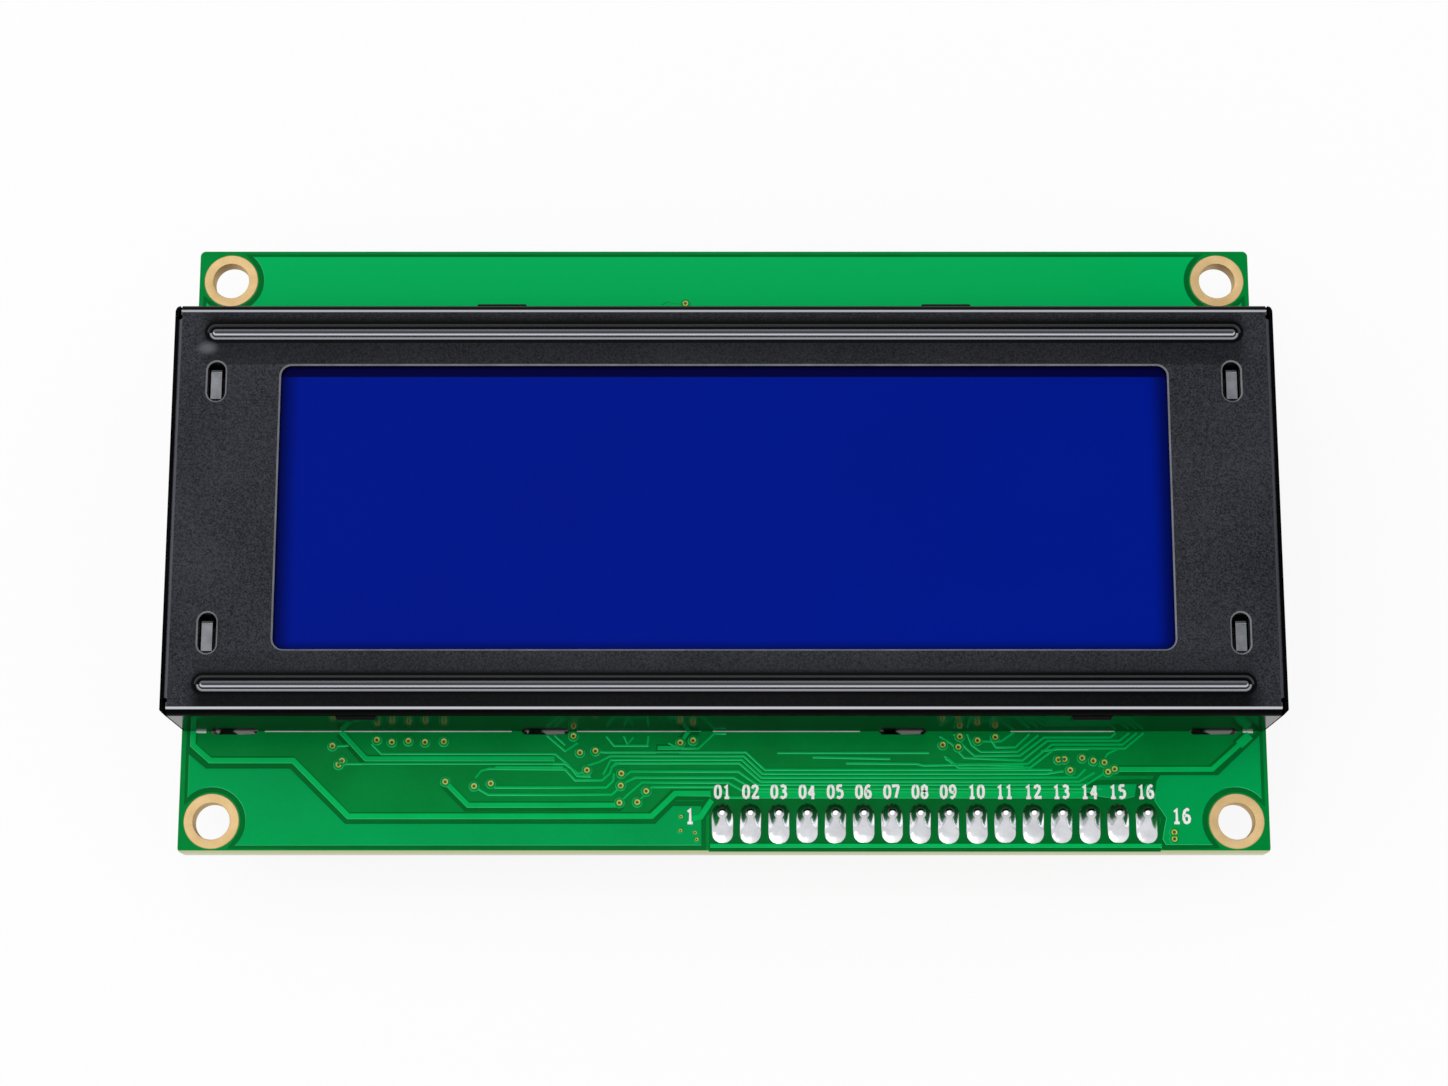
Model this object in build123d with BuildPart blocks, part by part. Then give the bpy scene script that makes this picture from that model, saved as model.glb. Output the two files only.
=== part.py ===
from build123d import *
from math import cos, radians, sin
import os

os.makedirs("parts", exist_ok=True)

# Character LCD module, twenty columns by four rows, millimetres.
# The origin is the centre of the four screw holes on the board's display side.
# +X runs to the viewer's right, +Y to the plain edge of the board, +Z out of the display.

# Circuit board
board_width = 98.0
board_depth = 56.36
board_thickness = 1.6
board_corner_radius = 0.5
copper_thickness = 0.05

# Screw holes in the corners, each lined and ringed with plating
screw_inset_x = 2.95
screw_inset_y = 2.88
screw_hole_diameter = 3.3
screw_ring_diameter = 5.0

# Row of header pins, numbered from the left
pin_count = 16
pin_pitch = 2.54
last_pin_inset_x = 11.05
pin_inset_y = 3.48
pin_width = 0.64
pin_tip_above_board = 1.35
pin_tip_below_strip = 6.0
pin_point = 0.2
pin_hole_clearance = 0.14
hole_sides = 8
strip_width = 2.5
strip_height = 2.54
strip_notch = 0.45

# Solder on the pins, over a long pad that reaches further to the board's front edge
pad_width = 1.93
pad_front_reach = 2.7
pad_rear_reach = 1.0
pad_corner = 0.5
solder_height = 1.15
solder_collar = 0.12
solder_profile = [(0, 1), (0.18, 0.62), (0.5, 0.24), (1, 0)]

# Sheet steel bezel
sheet = 0.5
bend_radius = 1.0
window_depth = 25.7
window_corner_radius = 0.95
rim_chamfer = 0.14
corner_cut = 0.55
corner_gap = 0.2
corner_relief_diameter = 0.5
bezel_clearance = 0.2
display_center_y = 1.48

# Long stiffening beads beside the window
bead_edge_inset = 2.68
bead_end_inset = 3.18
bead_width = 1.35
bead_island_width = 0.6
bead_depth = 0.3

# Lanced tongues that locate the backlight
tongue_beyond_glass = 1.5
tongue_offset_y = 11.4
tongue_width = 0.95
tongue_length = 2.8
tongue_drop = 0.12
tongue_leg = 1.6
tongue_pocket_depth = 3.2
tongue_slot_width = 1.6
tongue_slot_length = 3.6
tongue_front_gap = 0.2

# Bumps on the bezel's long walls
bump_height = 1.5
bump_proud = 0.3
bump_draft = 30
bump_below_bend = 0.1
front_bump_x = 32.2
front_bump_length = 3.6
rear_bump_x = 20.0
rear_bump_length = 4.6

# Tabs that pass through the board and are twisted behind it
tab_end_inset = 5.08
inner_tab_x = 16.15
tab_width = 3.4
tab_straight_below_board = 0.1
tab_twist_height = 0.9
tab_flag_height = 0.9
tab_twist_angle = 35
tab_twist_steps = 2
tab_slot_clearance_x = 1.3
tab_slot_width = 1.1
tab_slot_corner = 0.45

# Liquid crystal cell
polarizer_thickness = 0.2
polarizer_lap_x = 1.45
polarizer_lap_y = 1.0
glass_thickness = 1.1
seal_thickness = 0.05
seal_width = 1.2
seal_inset = 0.5
glass_lap_x = 2.8
glass_lap_y = 0.35
glass_end_rest = 0.8
contact_ledge = 2.1

# Backlight
diffuser_thickness = 0.2
guide_thickness = 3.8
reflector_thickness = 0.25
guide_inset_y = 1.2
housing_floor = 2.5
housing_wall_y = 1.58
housing_end_inset = 0.34
housing_end_length = 4.76
fit_gap = 0.1
led_count = 6
led_depth = 0.8
led_width = 2.8
led_height = 1.4
led_board_thickness = 0.8

# Rubber connector strips between the glass and the board
zebra_thickness = 1.9
zebra_end_inset = 2.3

# Wires from the light sources to the board
lead_width = 0.6
lead_bend_radius = 0.6
lead_corner_inset = 1.4
lead_hole_clearance = 0.1
lead_below_board = 0.9
lead_solder_diameter = 1.9
lead_solder_height = 0.7
channel_width = 1.0

# Covered chips behind the board
controller_x = 2.0
controller_diameter = 16.0
driver_offset_x = 29.0
driver_diameter = 14.0
blob_row_y = 3.0
blob_height = 1.5
blob_profile = [(1, 0), (0.93, 0.42), (0.7, 0.82), (0.36, 1)]

# Chip resistors and capacitors behind the board
resistor_count = 8
resistor_pitch = 3.4
resistor_row_x = -13.0
resistor_row_y = -12.0
chip_length = 2.0
chip_width = 1.25
resistor_height = 0.5
capacitor_count = 2
capacitor_pitch = 4.6
capacitor_row_x = 17.0
capacitor_height = 0.85
terminal_length = 0.4
terminal_proud = 0.03


# Sizes that follow from the ones above
housing_half_x = board_width / 2 - housing_end_inset
glass_half_x = housing_half_x - housing_end_length - fit_gap
polarizer_half_x = glass_half_x - glass_lap_x
window_half_x = polarizer_half_x - polarizer_lap_x
window_half_y = window_depth / 2
polarizer_half_y = window_half_y + polarizer_lap_y
rear_glass_half_y = polarizer_half_y + glass_lap_y
front_glass_half_y = rear_glass_half_y + contact_ledge
housing_half_y = front_glass_half_y + fit_gap / 2 + housing_wall_y
bezel_half_x = housing_half_x + bezel_clearance + sheet
bezel_half_y = housing_half_y + bezel_clearance + sheet
bead_offset_y = bezel_half_y - bead_edge_inset
bead_length = 2 * (bezel_half_x - bead_end_inset)
tongue_x = glass_half_x + tongue_beyond_glass
outer_tab_x = bezel_half_x - tab_end_inset
guide_half_y = rear_glass_half_y - guide_inset_y
cavity_half_y = guide_half_y + fit_gap
cavity_half_x = glass_half_x - glass_end_rest
led_board_x = cavity_half_x - led_board_thickness
guide_half_x = led_board_x - led_depth

# Heights of the stack, from the board up
reflector_z = housing_floor
guide_z = reflector_z + reflector_thickness
diffuser_z = guide_z + guide_thickness
rear_polarizer_z = diffuser_z + diffuser_thickness
rear_glass_z = rear_polarizer_z + polarizer_thickness
seal_z = rear_glass_z + glass_thickness
front_glass_z = seal_z + seal_thickness
front_polarizer_z = front_glass_z + glass_thickness
bezel_top = front_polarizer_z + bead_depth + sheet

board_back = -board_thickness
board_front_y = -board_depth / 2
screw_x = board_width / 2 - screw_inset_x
screw_y = board_depth / 2 - screw_inset_y
pin_row_y = board_front_y + pin_inset_y
strip_bottom = board_back - strip_height
pin_row_center_x = board_width / 2 - last_pin_inset_x - pin_pitch * (pin_count - 1) / 2
first_pin_x = pin_row_center_x - pin_pitch * (pin_count - 1) / 2
pin_diagonal = pin_width * 2 ** 0.5
pin_hole_diameter = pin_diagonal + pin_hole_clearance
wall_middle_y = bezel_half_y - sheet / 2
zebra_center_y = (rear_glass_half_y + front_glass_half_y) / 2
zebra_half_x = glass_half_x - zebra_end_inset
display_plane = Plane((0, display_center_y, 0))

corners = {
    "front_left": (-screw_x, -screw_y),
    "front_right": (screw_x, -screw_y),
    "rear_left": (-screw_x, screw_y),
    "rear_right": (screw_x, screw_y),
}
pin_places = [(first_pin_x + pin_pitch * number, pin_row_y) for number in range(pin_count)]
tab_places = []
for tab_x in (-outer_tab_x, -inner_tab_x, inner_tab_x, outer_tab_x):
    tab_places.append((tab_x, display_center_y - wall_middle_y))
    tab_places.append((tab_x, display_center_y + wall_middle_y))
lead_x = housing_half_x - lead_corner_inset
lead_y = display_center_y - housing_half_y + lead_corner_inset
lead_start_x = led_board_x + led_board_thickness / 2
lead_start_y = display_center_y - guide_half_y + lead_width
lead_level = channel_width / 2
lead_diagonal = lead_width * 2 ** 0.5


# Outline of one routed slot, with its corners cut
with BuildSketch() as tab_slot:
    Rectangle(tab_width + tab_slot_clearance_x, tab_slot_width)
    chamfer(tab_slot.vertices(), tab_slot_corner)

# Circuit board: one sheet of laminate, drilled and routed
with BuildPart() as pcb:
    with BuildSketch(Plane.XY.offset(board_back)):
        RectangleRounded(board_width, board_depth, board_corner_radius)
        with Locations(*corners.values()):
            Circle(screw_hole_diameter / 2 + copper_thickness, mode=Mode.SUBTRACT)
        with Locations(*pin_places):
            RegularPolygon(pin_hole_diameter / 2, hole_sides, mode=Mode.SUBTRACT)
        with Locations(*tab_places):
            add(tab_slot.sketch, mode=Mode.SUBTRACT)
        with Locations((-lead_x, lead_y), (lead_x, lead_y)):
            Circle((lead_diagonal + lead_hole_clearance) / 2, mode=Mode.SUBTRACT)
    extrude(amount=board_thickness)
pcb.part.label = "pcb"
export_step(pcb.part, "parts/pcb.step")


# Plated screw holes: a barrel through the board with a flat ring on each face
for corner, place in corners.items():
    with BuildPart() as plated_ring:
        for ring_z in (0, board_back - copper_thickness):
            with BuildSketch(Plane.XY.offset(ring_z)):
                with Locations(place):
                    Circle(screw_ring_diameter / 2)
                    Circle(screw_hole_diameter / 2, mode=Mode.SUBTRACT)
            extrude(amount=copper_thickness)
        with BuildSketch(Plane.XY.offset(board_back)):
            with Locations(place):
                Circle(screw_hole_diameter / 2 + copper_thickness)
                Circle(screw_hole_diameter / 2, mode=Mode.SUBTRACT)
        extrude(amount=board_thickness)
    plated_ring.part.label = f"plated_ring_{corner}"
    export_step(plated_ring.part, f"parts/plated_ring_{corner}.step")


# Space inside the folded bezel, with the inside of its bends
with BuildPart() as bezel_core:
    with BuildSketch(display_plane):
        Rectangle(2 * (bezel_half_x - sheet), 2 * (bezel_half_y - sheet))
    extrude(amount=bezel_top - sheet)
    fillet(bezel_core.faces().sort_by(Axis.Z)[-1].edges(), bend_radius - sheet)


def bead(side):
    """Press a bead into the sheet, with a flat island left standing along its middle."""
    bead_y = display_center_y + side * bead_offset_y
    island_length = bead_length - bead_width + bead_island_width
    with BuildSketch(Plane((0, bead_y, bezel_top - sheet - bead_depth))) as backing:
        SlotOverall(bead_length, bead_width)
    extrude(backing.sketch, amount=bead_depth)
    with BuildSketch(Plane((0, bead_y, bezel_top - bead_depth))) as groove:
        SlotOverall(bead_length, bead_width)
        SlotOverall(island_length, bead_island_width, mode=Mode.SUBTRACT)
    extrude(groove.sketch, amount=bead_depth, mode=Mode.SUBTRACT)


def tongue_slot(place_x, side):
    """Open the slot that a locating tongue stands in."""
    slot_y = display_center_y + side * tongue_offset_y
    with BuildSketch(Plane((place_x, slot_y, bezel_top - sheet))) as slot:
        SlotOverall(tongue_slot_length, tongue_slot_width, rotation=90)
    extrude(slot.sketch, amount=sheet, mode=Mode.SUBTRACT)


def locating_tongue(place_x, side):
    """Fill the slot with its tongue, held at the front end and turned down at the rear end."""
    slot_front_y = display_center_y + side * tongue_offset_y - tongue_slot_length / 2
    profile_plane = Plane(
        (place_x - tongue_width / 2, slot_front_y + tongue_front_gap, bezel_top - tongue_drop),
        x_dir=(0, 1, 0),
        z_dir=(1, 0, 0),
    )
    neck_start = -tongue_front_gap - rim_chamfer
    with BuildSketch(profile_plane) as profile:
        with BuildLine():
            Polyline(
                (neck_start, -sheet / 2),
                (0, -sheet / 2),
                (0, 0),
                (tongue_length, 0),
                (tongue_length, -tongue_leg),
                (tongue_length - sheet, -tongue_leg),
                (tongue_length - sheet, -sheet),
                (neck_start, -sheet),
                close=True,
            )
        make_face()
        fillet(profile.vertices().group_by(Axis.Y)[-1].sort_by(Axis.X)[-1], sheet)
    extrude(profile.sketch, amount=tongue_width)


def wall_bump(side, place_x, length, depth_in_wall, mode):
    """Raise, or dent from inside, a rounded bump on the front (-1) or rear (1) wall."""
    bump_y = display_center_y + side * (bezel_half_y - depth_in_wall)
    bump_z = bezel_top - bend_radius - bump_below_bend - bump_height / 2
    wall_plane = Plane((place_x, bump_y, bump_z), x_dir=(1, 0, 0), z_dir=(0, side, 0))
    with BuildSketch(wall_plane) as outline:
        Rectangle(length, bump_height)
    extrude(outline.sketch, amount=bump_proud, taper=bump_draft, mode=mode)


def open_corner(side_x, side_y):
    """Cut the blank's corner, with a relief hole and the slit between the two walls."""
    corner_x = side_x * bezel_half_x
    corner_y = display_center_y + side_y * bezel_half_y
    slit_x = side_x * (bezel_half_x - sheet - corner_gap / 2)
    slit_length = bend_radius + corner_relief_diameter / 2
    with BuildSketch() as cut:
        with Locations((corner_x, corner_y)):
            Rectangle(corner_cut * 2 ** 0.5, corner_cut * 2 ** 0.5, rotation=45)
        with Locations((slit_x, corner_y - side_y * slit_length / 2)):
            Rectangle(corner_gap, slit_length)
        with Locations((slit_x, corner_y - side_y * slit_length)):
            RegularPolygon(corner_relief_diameter / 2, hole_sides)
    extrude(cut.sketch, amount=bezel_top, mode=Mode.SUBTRACT)


def tab_twist(place, twist_top):
    """Solid of a tab's twist: sections turned step by step, joined by flat triangles."""
    section = [(-0.5, -0.5), (0, -0.5), (0.5, -0.5), (0.5, 0.5), (0, 0.5), (-0.5, 0.5)]
    rows = []
    for step in range(tab_twist_steps + 1):
        share = step / tab_twist_steps
        turn = radians(tab_twist_angle * share)
        center = Vector(*place, twist_top - tab_twist_height * share)
        along = Vector(cos(turn), sin(turn), 0) * tab_width
        through = Vector(-sin(turn), cos(turn), 0) * sheet
        rows.append([center + along * x + through * y for x, y in section])
    faces = [Face(Wire.make_polygon(rows[0])), Face(Wire.make_polygon(rows[-1]))]
    for upper, lower in zip(rows, rows[1:]):
        for here in range(len(section)):
            beside = (here + 1) % len(section)
            faces.append(Face(Wire.make_polygon([upper[here], upper[beside], lower[here]])))
            faces.append(Face(Wire.make_polygon([upper[beside], lower[beside], lower[here]])))
    return Solid(Shell(faces))


def twisted_tab(place):
    """Add a tab that runs straight through the board and turns below it."""
    straight_end = board_back - tab_straight_below_board
    flag_top = straight_end - tab_twist_height
    with BuildSketch(Plane((*place, straight_end))) as straight:
        Rectangle(tab_width, sheet)
    extrude(straight.sketch, amount=-straight_end)
    add(tab_twist(place, straight_end))
    with BuildSketch(Plane((*place, flag_top))) as flag:
        Rectangle(tab_width, sheet, rotation=tab_twist_angle)
    extrude(flag.sketch, amount=-tab_flag_height)


# Bezel: a blank cut, embossed, lanced and folded from one sheet of steel
with BuildPart() as bezel:
    with BuildSketch(display_plane):
        Rectangle(2 * bezel_half_x, 2 * bezel_half_y)
    extrude(amount=bezel_top)
    fillet(bezel.faces().sort_by(Axis.Z)[-1].edges(), bend_radius)
    add(bezel_core.part, mode=Mode.SUBTRACT)
    with BuildSketch(display_plane.offset(bezel_top - sheet)):
        RectangleRounded(2 * window_half_x, window_depth, window_corner_radius)
    extrude(amount=sheet, mode=Mode.SUBTRACT)
    for side in (-1, 1):
        bead(side)
        tongue_slot(-tongue_x, side)
        tongue_slot(tongue_x, side)
    top_faces = bezel.faces().filter_by(Plane.XY).group_by(Axis.Z)[-1].sort_by(SortBy.AREA)
    rims = [edge for wire in top_faces[-1].inner_wires() for edge in wire.edges()]
    island_edges = [edge for face in top_faces[:-1] for edge in face.edges()]
    chamfer(rims + island_edges, rim_chamfer)
    for side in (-1, 1):
        for side_x in (-1, 1):
            locating_tongue(side_x * tongue_x, side)
            bump_x = side_x * (front_bump_x if side < 0 else rear_bump_x)
            bump_length = front_bump_length if side < 0 else rear_bump_length
            wall_bump(side, bump_x, bump_length, 0, Mode.ADD)
            wall_bump(side, bump_x, bump_length, sheet, Mode.SUBTRACT)
            open_corner(side_x, side)
    for place in tab_places:
        twisted_tab(place)
bezel.part.label = "bezel"
export_step(bezel.part, "parts/bezel.step")


# Liquid crystal cell: polarizer, glass, seal, glass, polarizer
with BuildPart() as lcd_front_polarizer:
    with BuildSketch(display_plane.offset(front_polarizer_z)):
        Rectangle(2 * polarizer_half_x, 2 * polarizer_half_y)
    extrude(amount=polarizer_thickness)
lcd_front_polarizer.part.label = "lcd_front_polarizer"
export_step(lcd_front_polarizer.part, "parts/lcd_front_polarizer.step")

# The front glass is the wider one: its two ledges carry the contacts
with BuildPart() as lcd_front_glass:
    with BuildSketch(display_plane.offset(front_glass_z)):
        Rectangle(2 * glass_half_x, 2 * front_glass_half_y)
    extrude(amount=glass_thickness)
lcd_front_glass.part.label = "lcd_front_glass"
export_step(lcd_front_glass.part, "parts/lcd_front_glass.step")

with BuildPart() as lcd_seal:
    with BuildSketch(display_plane.offset(seal_z)):
        Rectangle(2 * (glass_half_x - seal_inset), 2 * (rear_glass_half_y - seal_inset))
        offset(amount=-seal_width, mode=Mode.SUBTRACT)
    extrude(amount=seal_thickness)
lcd_seal.part.label = "lcd_seal"
export_step(lcd_seal.part, "parts/lcd_seal.step")

with BuildPart() as lcd_rear_glass:
    with BuildSketch(display_plane.offset(rear_glass_z)):
        Rectangle(2 * glass_half_x, 2 * rear_glass_half_y)
    extrude(amount=glass_thickness)
lcd_rear_glass.part.label = "lcd_rear_glass"
export_step(lcd_rear_glass.part, "parts/lcd_rear_glass.step")

with BuildPart() as lcd_rear_polarizer:
    with BuildSketch(display_plane.offset(rear_polarizer_z)):
        Rectangle(2 * polarizer_half_x, 2 * guide_half_y)
    extrude(amount=polarizer_thickness)
lcd_rear_polarizer.part.label = "lcd_rear_polarizer"
export_step(lcd_rear_polarizer.part, "parts/lcd_rear_polarizer.step")


# Rubber connector strips stand between the glass ledges and the board
for strip_name, side in (("front", -1), ("rear", 1)):
    with BuildPart() as zebra_strip:
        with BuildSketch(Plane((0, display_center_y + side * zebra_center_y, 0))):
            Rectangle(2 * zebra_half_x, zebra_thickness)
        extrude(amount=front_glass_z)
    zebra_strip.part.label = f"zebra_strip_{strip_name}"
    export_step(zebra_strip.part, f"parts/zebra_strip_{strip_name}.step")


# Backlight: film, acrylic guide and film, lit from both ends
with BuildPart() as diffuser_film:
    with BuildSketch(display_plane.offset(diffuser_z)):
        Rectangle(2 * guide_half_x, 2 * guide_half_y)
    extrude(amount=diffuser_thickness)
diffuser_film.part.label = "diffuser_film"
export_step(diffuser_film.part, "parts/diffuser_film.step")

with BuildPart() as light_guide:
    with BuildSketch(display_plane.offset(guide_z)):
        Rectangle(2 * guide_half_x, 2 * guide_half_y)
    extrude(amount=guide_thickness)
light_guide.part.label = "light_guide"
export_step(light_guide.part, "parts/light_guide.step")

with BuildPart() as reflector_film:
    with BuildSketch(display_plane.offset(reflector_z)):
        Rectangle(2 * guide_half_x, 2 * guide_half_y)
    extrude(amount=reflector_thickness)
reflector_film.part.label = "reflector_film"
export_step(reflector_film.part, "parts/reflector_film.step")

for side_name, side in (("left", -1), ("right", 1)):
    with BuildPart() as led_board:
        with BuildSketch(display_plane.offset(housing_floor)):
            with Locations((side * (led_board_x + led_board_thickness / 2), 0)):
                Rectangle(led_board_thickness, 2 * guide_half_y)
        extrude(amount=diffuser_z - housing_floor)
    led_board.part.label = f"led_board_{side_name}"
    export_step(led_board.part, f"parts/led_board_{side_name}.step")

    with BuildPart() as led_row:
        led_z = guide_z + (guide_thickness - led_height) / 2
        with BuildSketch(display_plane.offset(led_z)):
            with Locations((side * (guide_half_x + led_depth / 2), 0)):
                with GridLocations(0, 2 * guide_half_y / led_count, 1, led_count):
                    Rectangle(led_depth, led_width)
        extrude(amount=led_height)
    led_row.part.label = f"led_row_{side_name}"
    export_step(led_row.part, f"parts/led_row_{side_name}.step")

    with BuildPart() as backlight_lead:
        with BuildLine() as lead_path:
            FilletPolyline(
                (side * lead_start_x, lead_start_y, housing_floor),
                (side * lead_start_x, lead_start_y, lead_level),
                (side * lead_start_x, lead_y, lead_level),
                (side * lead_x, lead_y, lead_level),
                (side * lead_x, lead_y, board_back - lead_below_board),
                radius=lead_bend_radius,
            )
        with BuildSketch(Plane(lead_path.line @ 0, z_dir=lead_path.line % 0)):
            Rectangle(lead_width, lead_width)
        sweep()
    backlight_lead.part.label = f"backlight_lead_{side_name}"
    export_step(backlight_lead.part, f"parts/backlight_lead_{side_name}.step")

with BuildPart() as backlight_solder:
    for side in (-1, 1):
        with BuildSketch(Plane((side * lead_x, lead_y, board_back))):
            RegularPolygon(lead_solder_diameter / 2, hole_sides)
        with BuildSketch(Plane((side * lead_x, lead_y, board_back - lead_solder_height))):
            RegularPolygon(lead_diagonal / 2 + solder_collar, hole_sides)
        loft(ruled=True)
    with BuildSketch(Plane.XY.offset(board_back)):
        with Locations((-lead_x, lead_y), (lead_x, lead_y)):
            Rectangle(lead_width, lead_width)
    extrude(amount=-lead_solder_height, mode=Mode.SUBTRACT)
backlight_solder.part.label = "backlight_solder"
export_step(backlight_solder.part, "parts/backlight_solder.step")


# Backlight housing: a moulded tray, open at the top, with slots for the rubber strips
with BuildPart() as backlight_housing:
    with BuildSketch(display_plane):
        Rectangle(2 * housing_half_x, 2 * housing_half_y)
    extrude(amount=front_polarizer_z - fit_gap)
    with BuildSketch(display_plane.offset(front_glass_z)):
        Rectangle(2 * (glass_half_x + fit_gap), 2 * front_glass_half_y + fit_gap)
    extrude(amount=glass_thickness, mode=Mode.SUBTRACT)
    with BuildSketch(display_plane.offset(rear_glass_z)):
        Rectangle(2 * (glass_half_x + fit_gap), 2 * rear_glass_half_y + fit_gap)
    extrude(amount=glass_thickness + seal_thickness, mode=Mode.SUBTRACT)
    with BuildSketch(display_plane.offset(housing_floor)):
        Rectangle(2 * cavity_half_x, 2 * cavity_half_y)
    extrude(amount=rear_glass_z - housing_floor, mode=Mode.SUBTRACT)
    with BuildSketch(display_plane):
        with Locations((0, -zebra_center_y), (0, zebra_center_y)):
            Rectangle(2 * zebra_half_x + 2 * fit_gap, zebra_thickness + fit_gap)
    extrude(amount=front_glass_z, mode=Mode.SUBTRACT)
    with BuildSketch(display_plane.offset(front_polarizer_z - fit_gap - tongue_pocket_depth)):
        with GridLocations(2 * tongue_x, 2 * tongue_offset_y, 2, 2):
            Rectangle(tongue_slot_width, tongue_slot_length)
    extrude(amount=tongue_pocket_depth, mode=Mode.SUBTRACT)
    with BuildSketch():
        for side in (-1, 1):
            with Locations((side * lead_start_x, (lead_start_y + lead_y) / 2)):
                Rectangle(channel_width, lead_start_y - lead_y + channel_width)
            with Locations((side * (lead_start_x + lead_x) / 2, lead_y)):
                Rectangle(lead_x - lead_start_x + channel_width, channel_width)
    extrude(amount=channel_width, mode=Mode.SUBTRACT)
    with BuildSketch():
        with Locations((-lead_start_x, lead_start_y), (lead_start_x, lead_start_y)):
            Circle(channel_width / 2)
    extrude(amount=housing_floor, mode=Mode.SUBTRACT)
backlight_housing.part.label = "backlight_housing"
export_step(backlight_housing.part, "parts/backlight_housing.step")


# Header: a notched moulding behind the board, with square pins pressed through it
strip_length = pin_pitch * pin_count
with BuildPart() as header_strip:
    with BuildSketch(Plane.XY.offset(strip_bottom)):
        with Locations((pin_row_center_x, pin_row_y)):
            Rectangle(strip_length, strip_width)
            with GridLocations(pin_pitch, strip_width, pin_count + 1, 2):
                Rectangle(strip_notch, strip_notch, rotation=45, mode=Mode.SUBTRACT)
        with Locations(*pin_places):
            Rectangle(pin_width, pin_width, mode=Mode.SUBTRACT)
    extrude(amount=strip_height)
header_strip.part.label = "header_strip"
export_step(header_strip.part, "parts/header_strip.step")

for number, place in enumerate(pin_places, start=1):
    with BuildPart() as header_pin:
        with BuildSketch(Plane((*place, strip_bottom - pin_tip_below_strip))):
            Rectangle(pin_width, pin_width)
        extrude(amount=pin_tip_below_strip + strip_height + board_thickness + pin_tip_above_board)
        ends = header_pin.faces().sort_by(Axis.Z)
        chamfer(ends[0].edges() + ends[-1].edges(), pin_point)
    header_pin.part.label = f"header_pin_{number}"
    export_step(header_pin.part, f"parts/header_pin_{number}.step")


def solder_slope(reach):
    """Concave slope of a joint from its collar down to the pad's edge, outwards and up."""
    slope = []
    for rise, spread in solder_profile:
        slope.append((collar_radius + (reach - collar_radius) * spread, solder_height * rise))
    return slope


# Solder: fills each pin's hole and climbs the pin from a pad that reaches forward.
# The row's side view, its front view and the pads' outline meet in sixteen joints.
collar_radius = pin_diagonal / 2 + solder_collar
rear_slope = solder_slope(pad_rear_reach)
front_slope = [(-y, z) for y, z in solder_slope(pad_front_reach)]
with BuildPart() as solder_joints:
    row_start = first_pin_x - pin_pitch
    with BuildSketch(Plane((row_start, pin_row_y, 0), x_dir=(0, 1, 0), z_dir=(1, 0, 0))):
        with BuildLine():
            Polyline(*rear_slope, *reversed(front_slope), close=True)
        make_face()
    extrude(amount=pin_pitch * (pin_count + 1))
    side_slope = solder_slope(pad_width / 2)
    with BuildSketch(Plane((0, pin_row_y + pad_rear_reach, 0), x_dir=(1, 0, 0), z_dir=(0, -1, 0))):
        for place_x, place_y in pin_places:
            right_slope = [(place_x + x, z) for x, z in side_slope]
            left_slope = [(place_x - x, z) for x, z in reversed(side_slope)]
            with BuildLine():
                Polyline(*right_slope, *left_slope, close=True)
            make_face()
    extrude(amount=pad_front_reach + pad_rear_reach, mode=Mode.INTERSECT)
    with BuildSketch() as pads:
        with Locations((0, (pad_rear_reach - pad_front_reach) / 2)):
            with Locations(*pin_places):
                Rectangle(pad_width, pad_front_reach + pad_rear_reach)
        chamfer(pads.vertices(), pad_corner)
    extrude(amount=solder_height, mode=Mode.INTERSECT)
    with BuildSketch(Plane.XY.offset(board_back)):
        with Locations(*pin_places):
            RegularPolygon(pin_hole_diameter / 2, hole_sides)
    extrude(amount=board_thickness)
    with BuildSketch(Plane.XY.offset(board_back)):
        with Locations(*pin_places):
            Rectangle(pin_width, pin_width)
    extrude(amount=board_thickness + solder_height, mode=Mode.SUBTRACT)
solder_joints.part.label = "solder_joints"
export_step(solder_joints.part, "parts/solder_joints.step")


# Epoxy domes over the bare chips, each turned from a flowing profile
blobs = {
    "driver_blob_left": (-driver_offset_x, driver_diameter),
    "controller_blob": (controller_x, controller_diameter),
    "driver_blob_right": (driver_offset_x, driver_diameter),
}
for blob_name, (blob_x, diameter) in blobs.items():
    slope = [(diameter / 2 * wide, blob_height * low) for wide, low in blob_profile]
    with BuildPart() as blob:
        with BuildSketch(Plane((blob_x, blob_row_y, board_back), x_dir=(1, 0, 0), z_dir=(0, 1, 0))):
            with BuildLine():
                Polyline((0, 0), *slope, (0, blob_height), close=True)
            make_face()
        revolve(axis=Axis((blob_x, blob_row_y, board_back), (0, 0, 1)))
    blob.part.label = blob_name
    export_step(blob.part, f"parts/{blob_name}.step")


def chip(place, height):
    """A ceramic chip hung from the board's back, with a metal cap on each end."""
    with BuildSketch(Plane((*place, board_back))) as body:
        Rectangle(chip_length, chip_width)
    extrude(body.sketch, amount=-height)
    with BuildSketch(Plane((*place, board_back))) as caps:
        with GridLocations(chip_length - terminal_length, 1, 2, 1):
            Rectangle(terminal_length, chip_width + 2 * terminal_proud)
    extrude(caps.sketch, amount=-height - terminal_proud)


# Chip resistors and capacitors in one row behind the board
for number in range(resistor_count):
    place_x = resistor_row_x + resistor_pitch * (number - (resistor_count - 1) / 2)
    with BuildPart() as chip_resistor:
        chip((place_x, resistor_row_y), resistor_height)
    chip_resistor.part.label = f"chip_resistor_{number + 1}"
    export_step(chip_resistor.part, f"parts/chip_resistor_{number + 1}.step")

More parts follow.
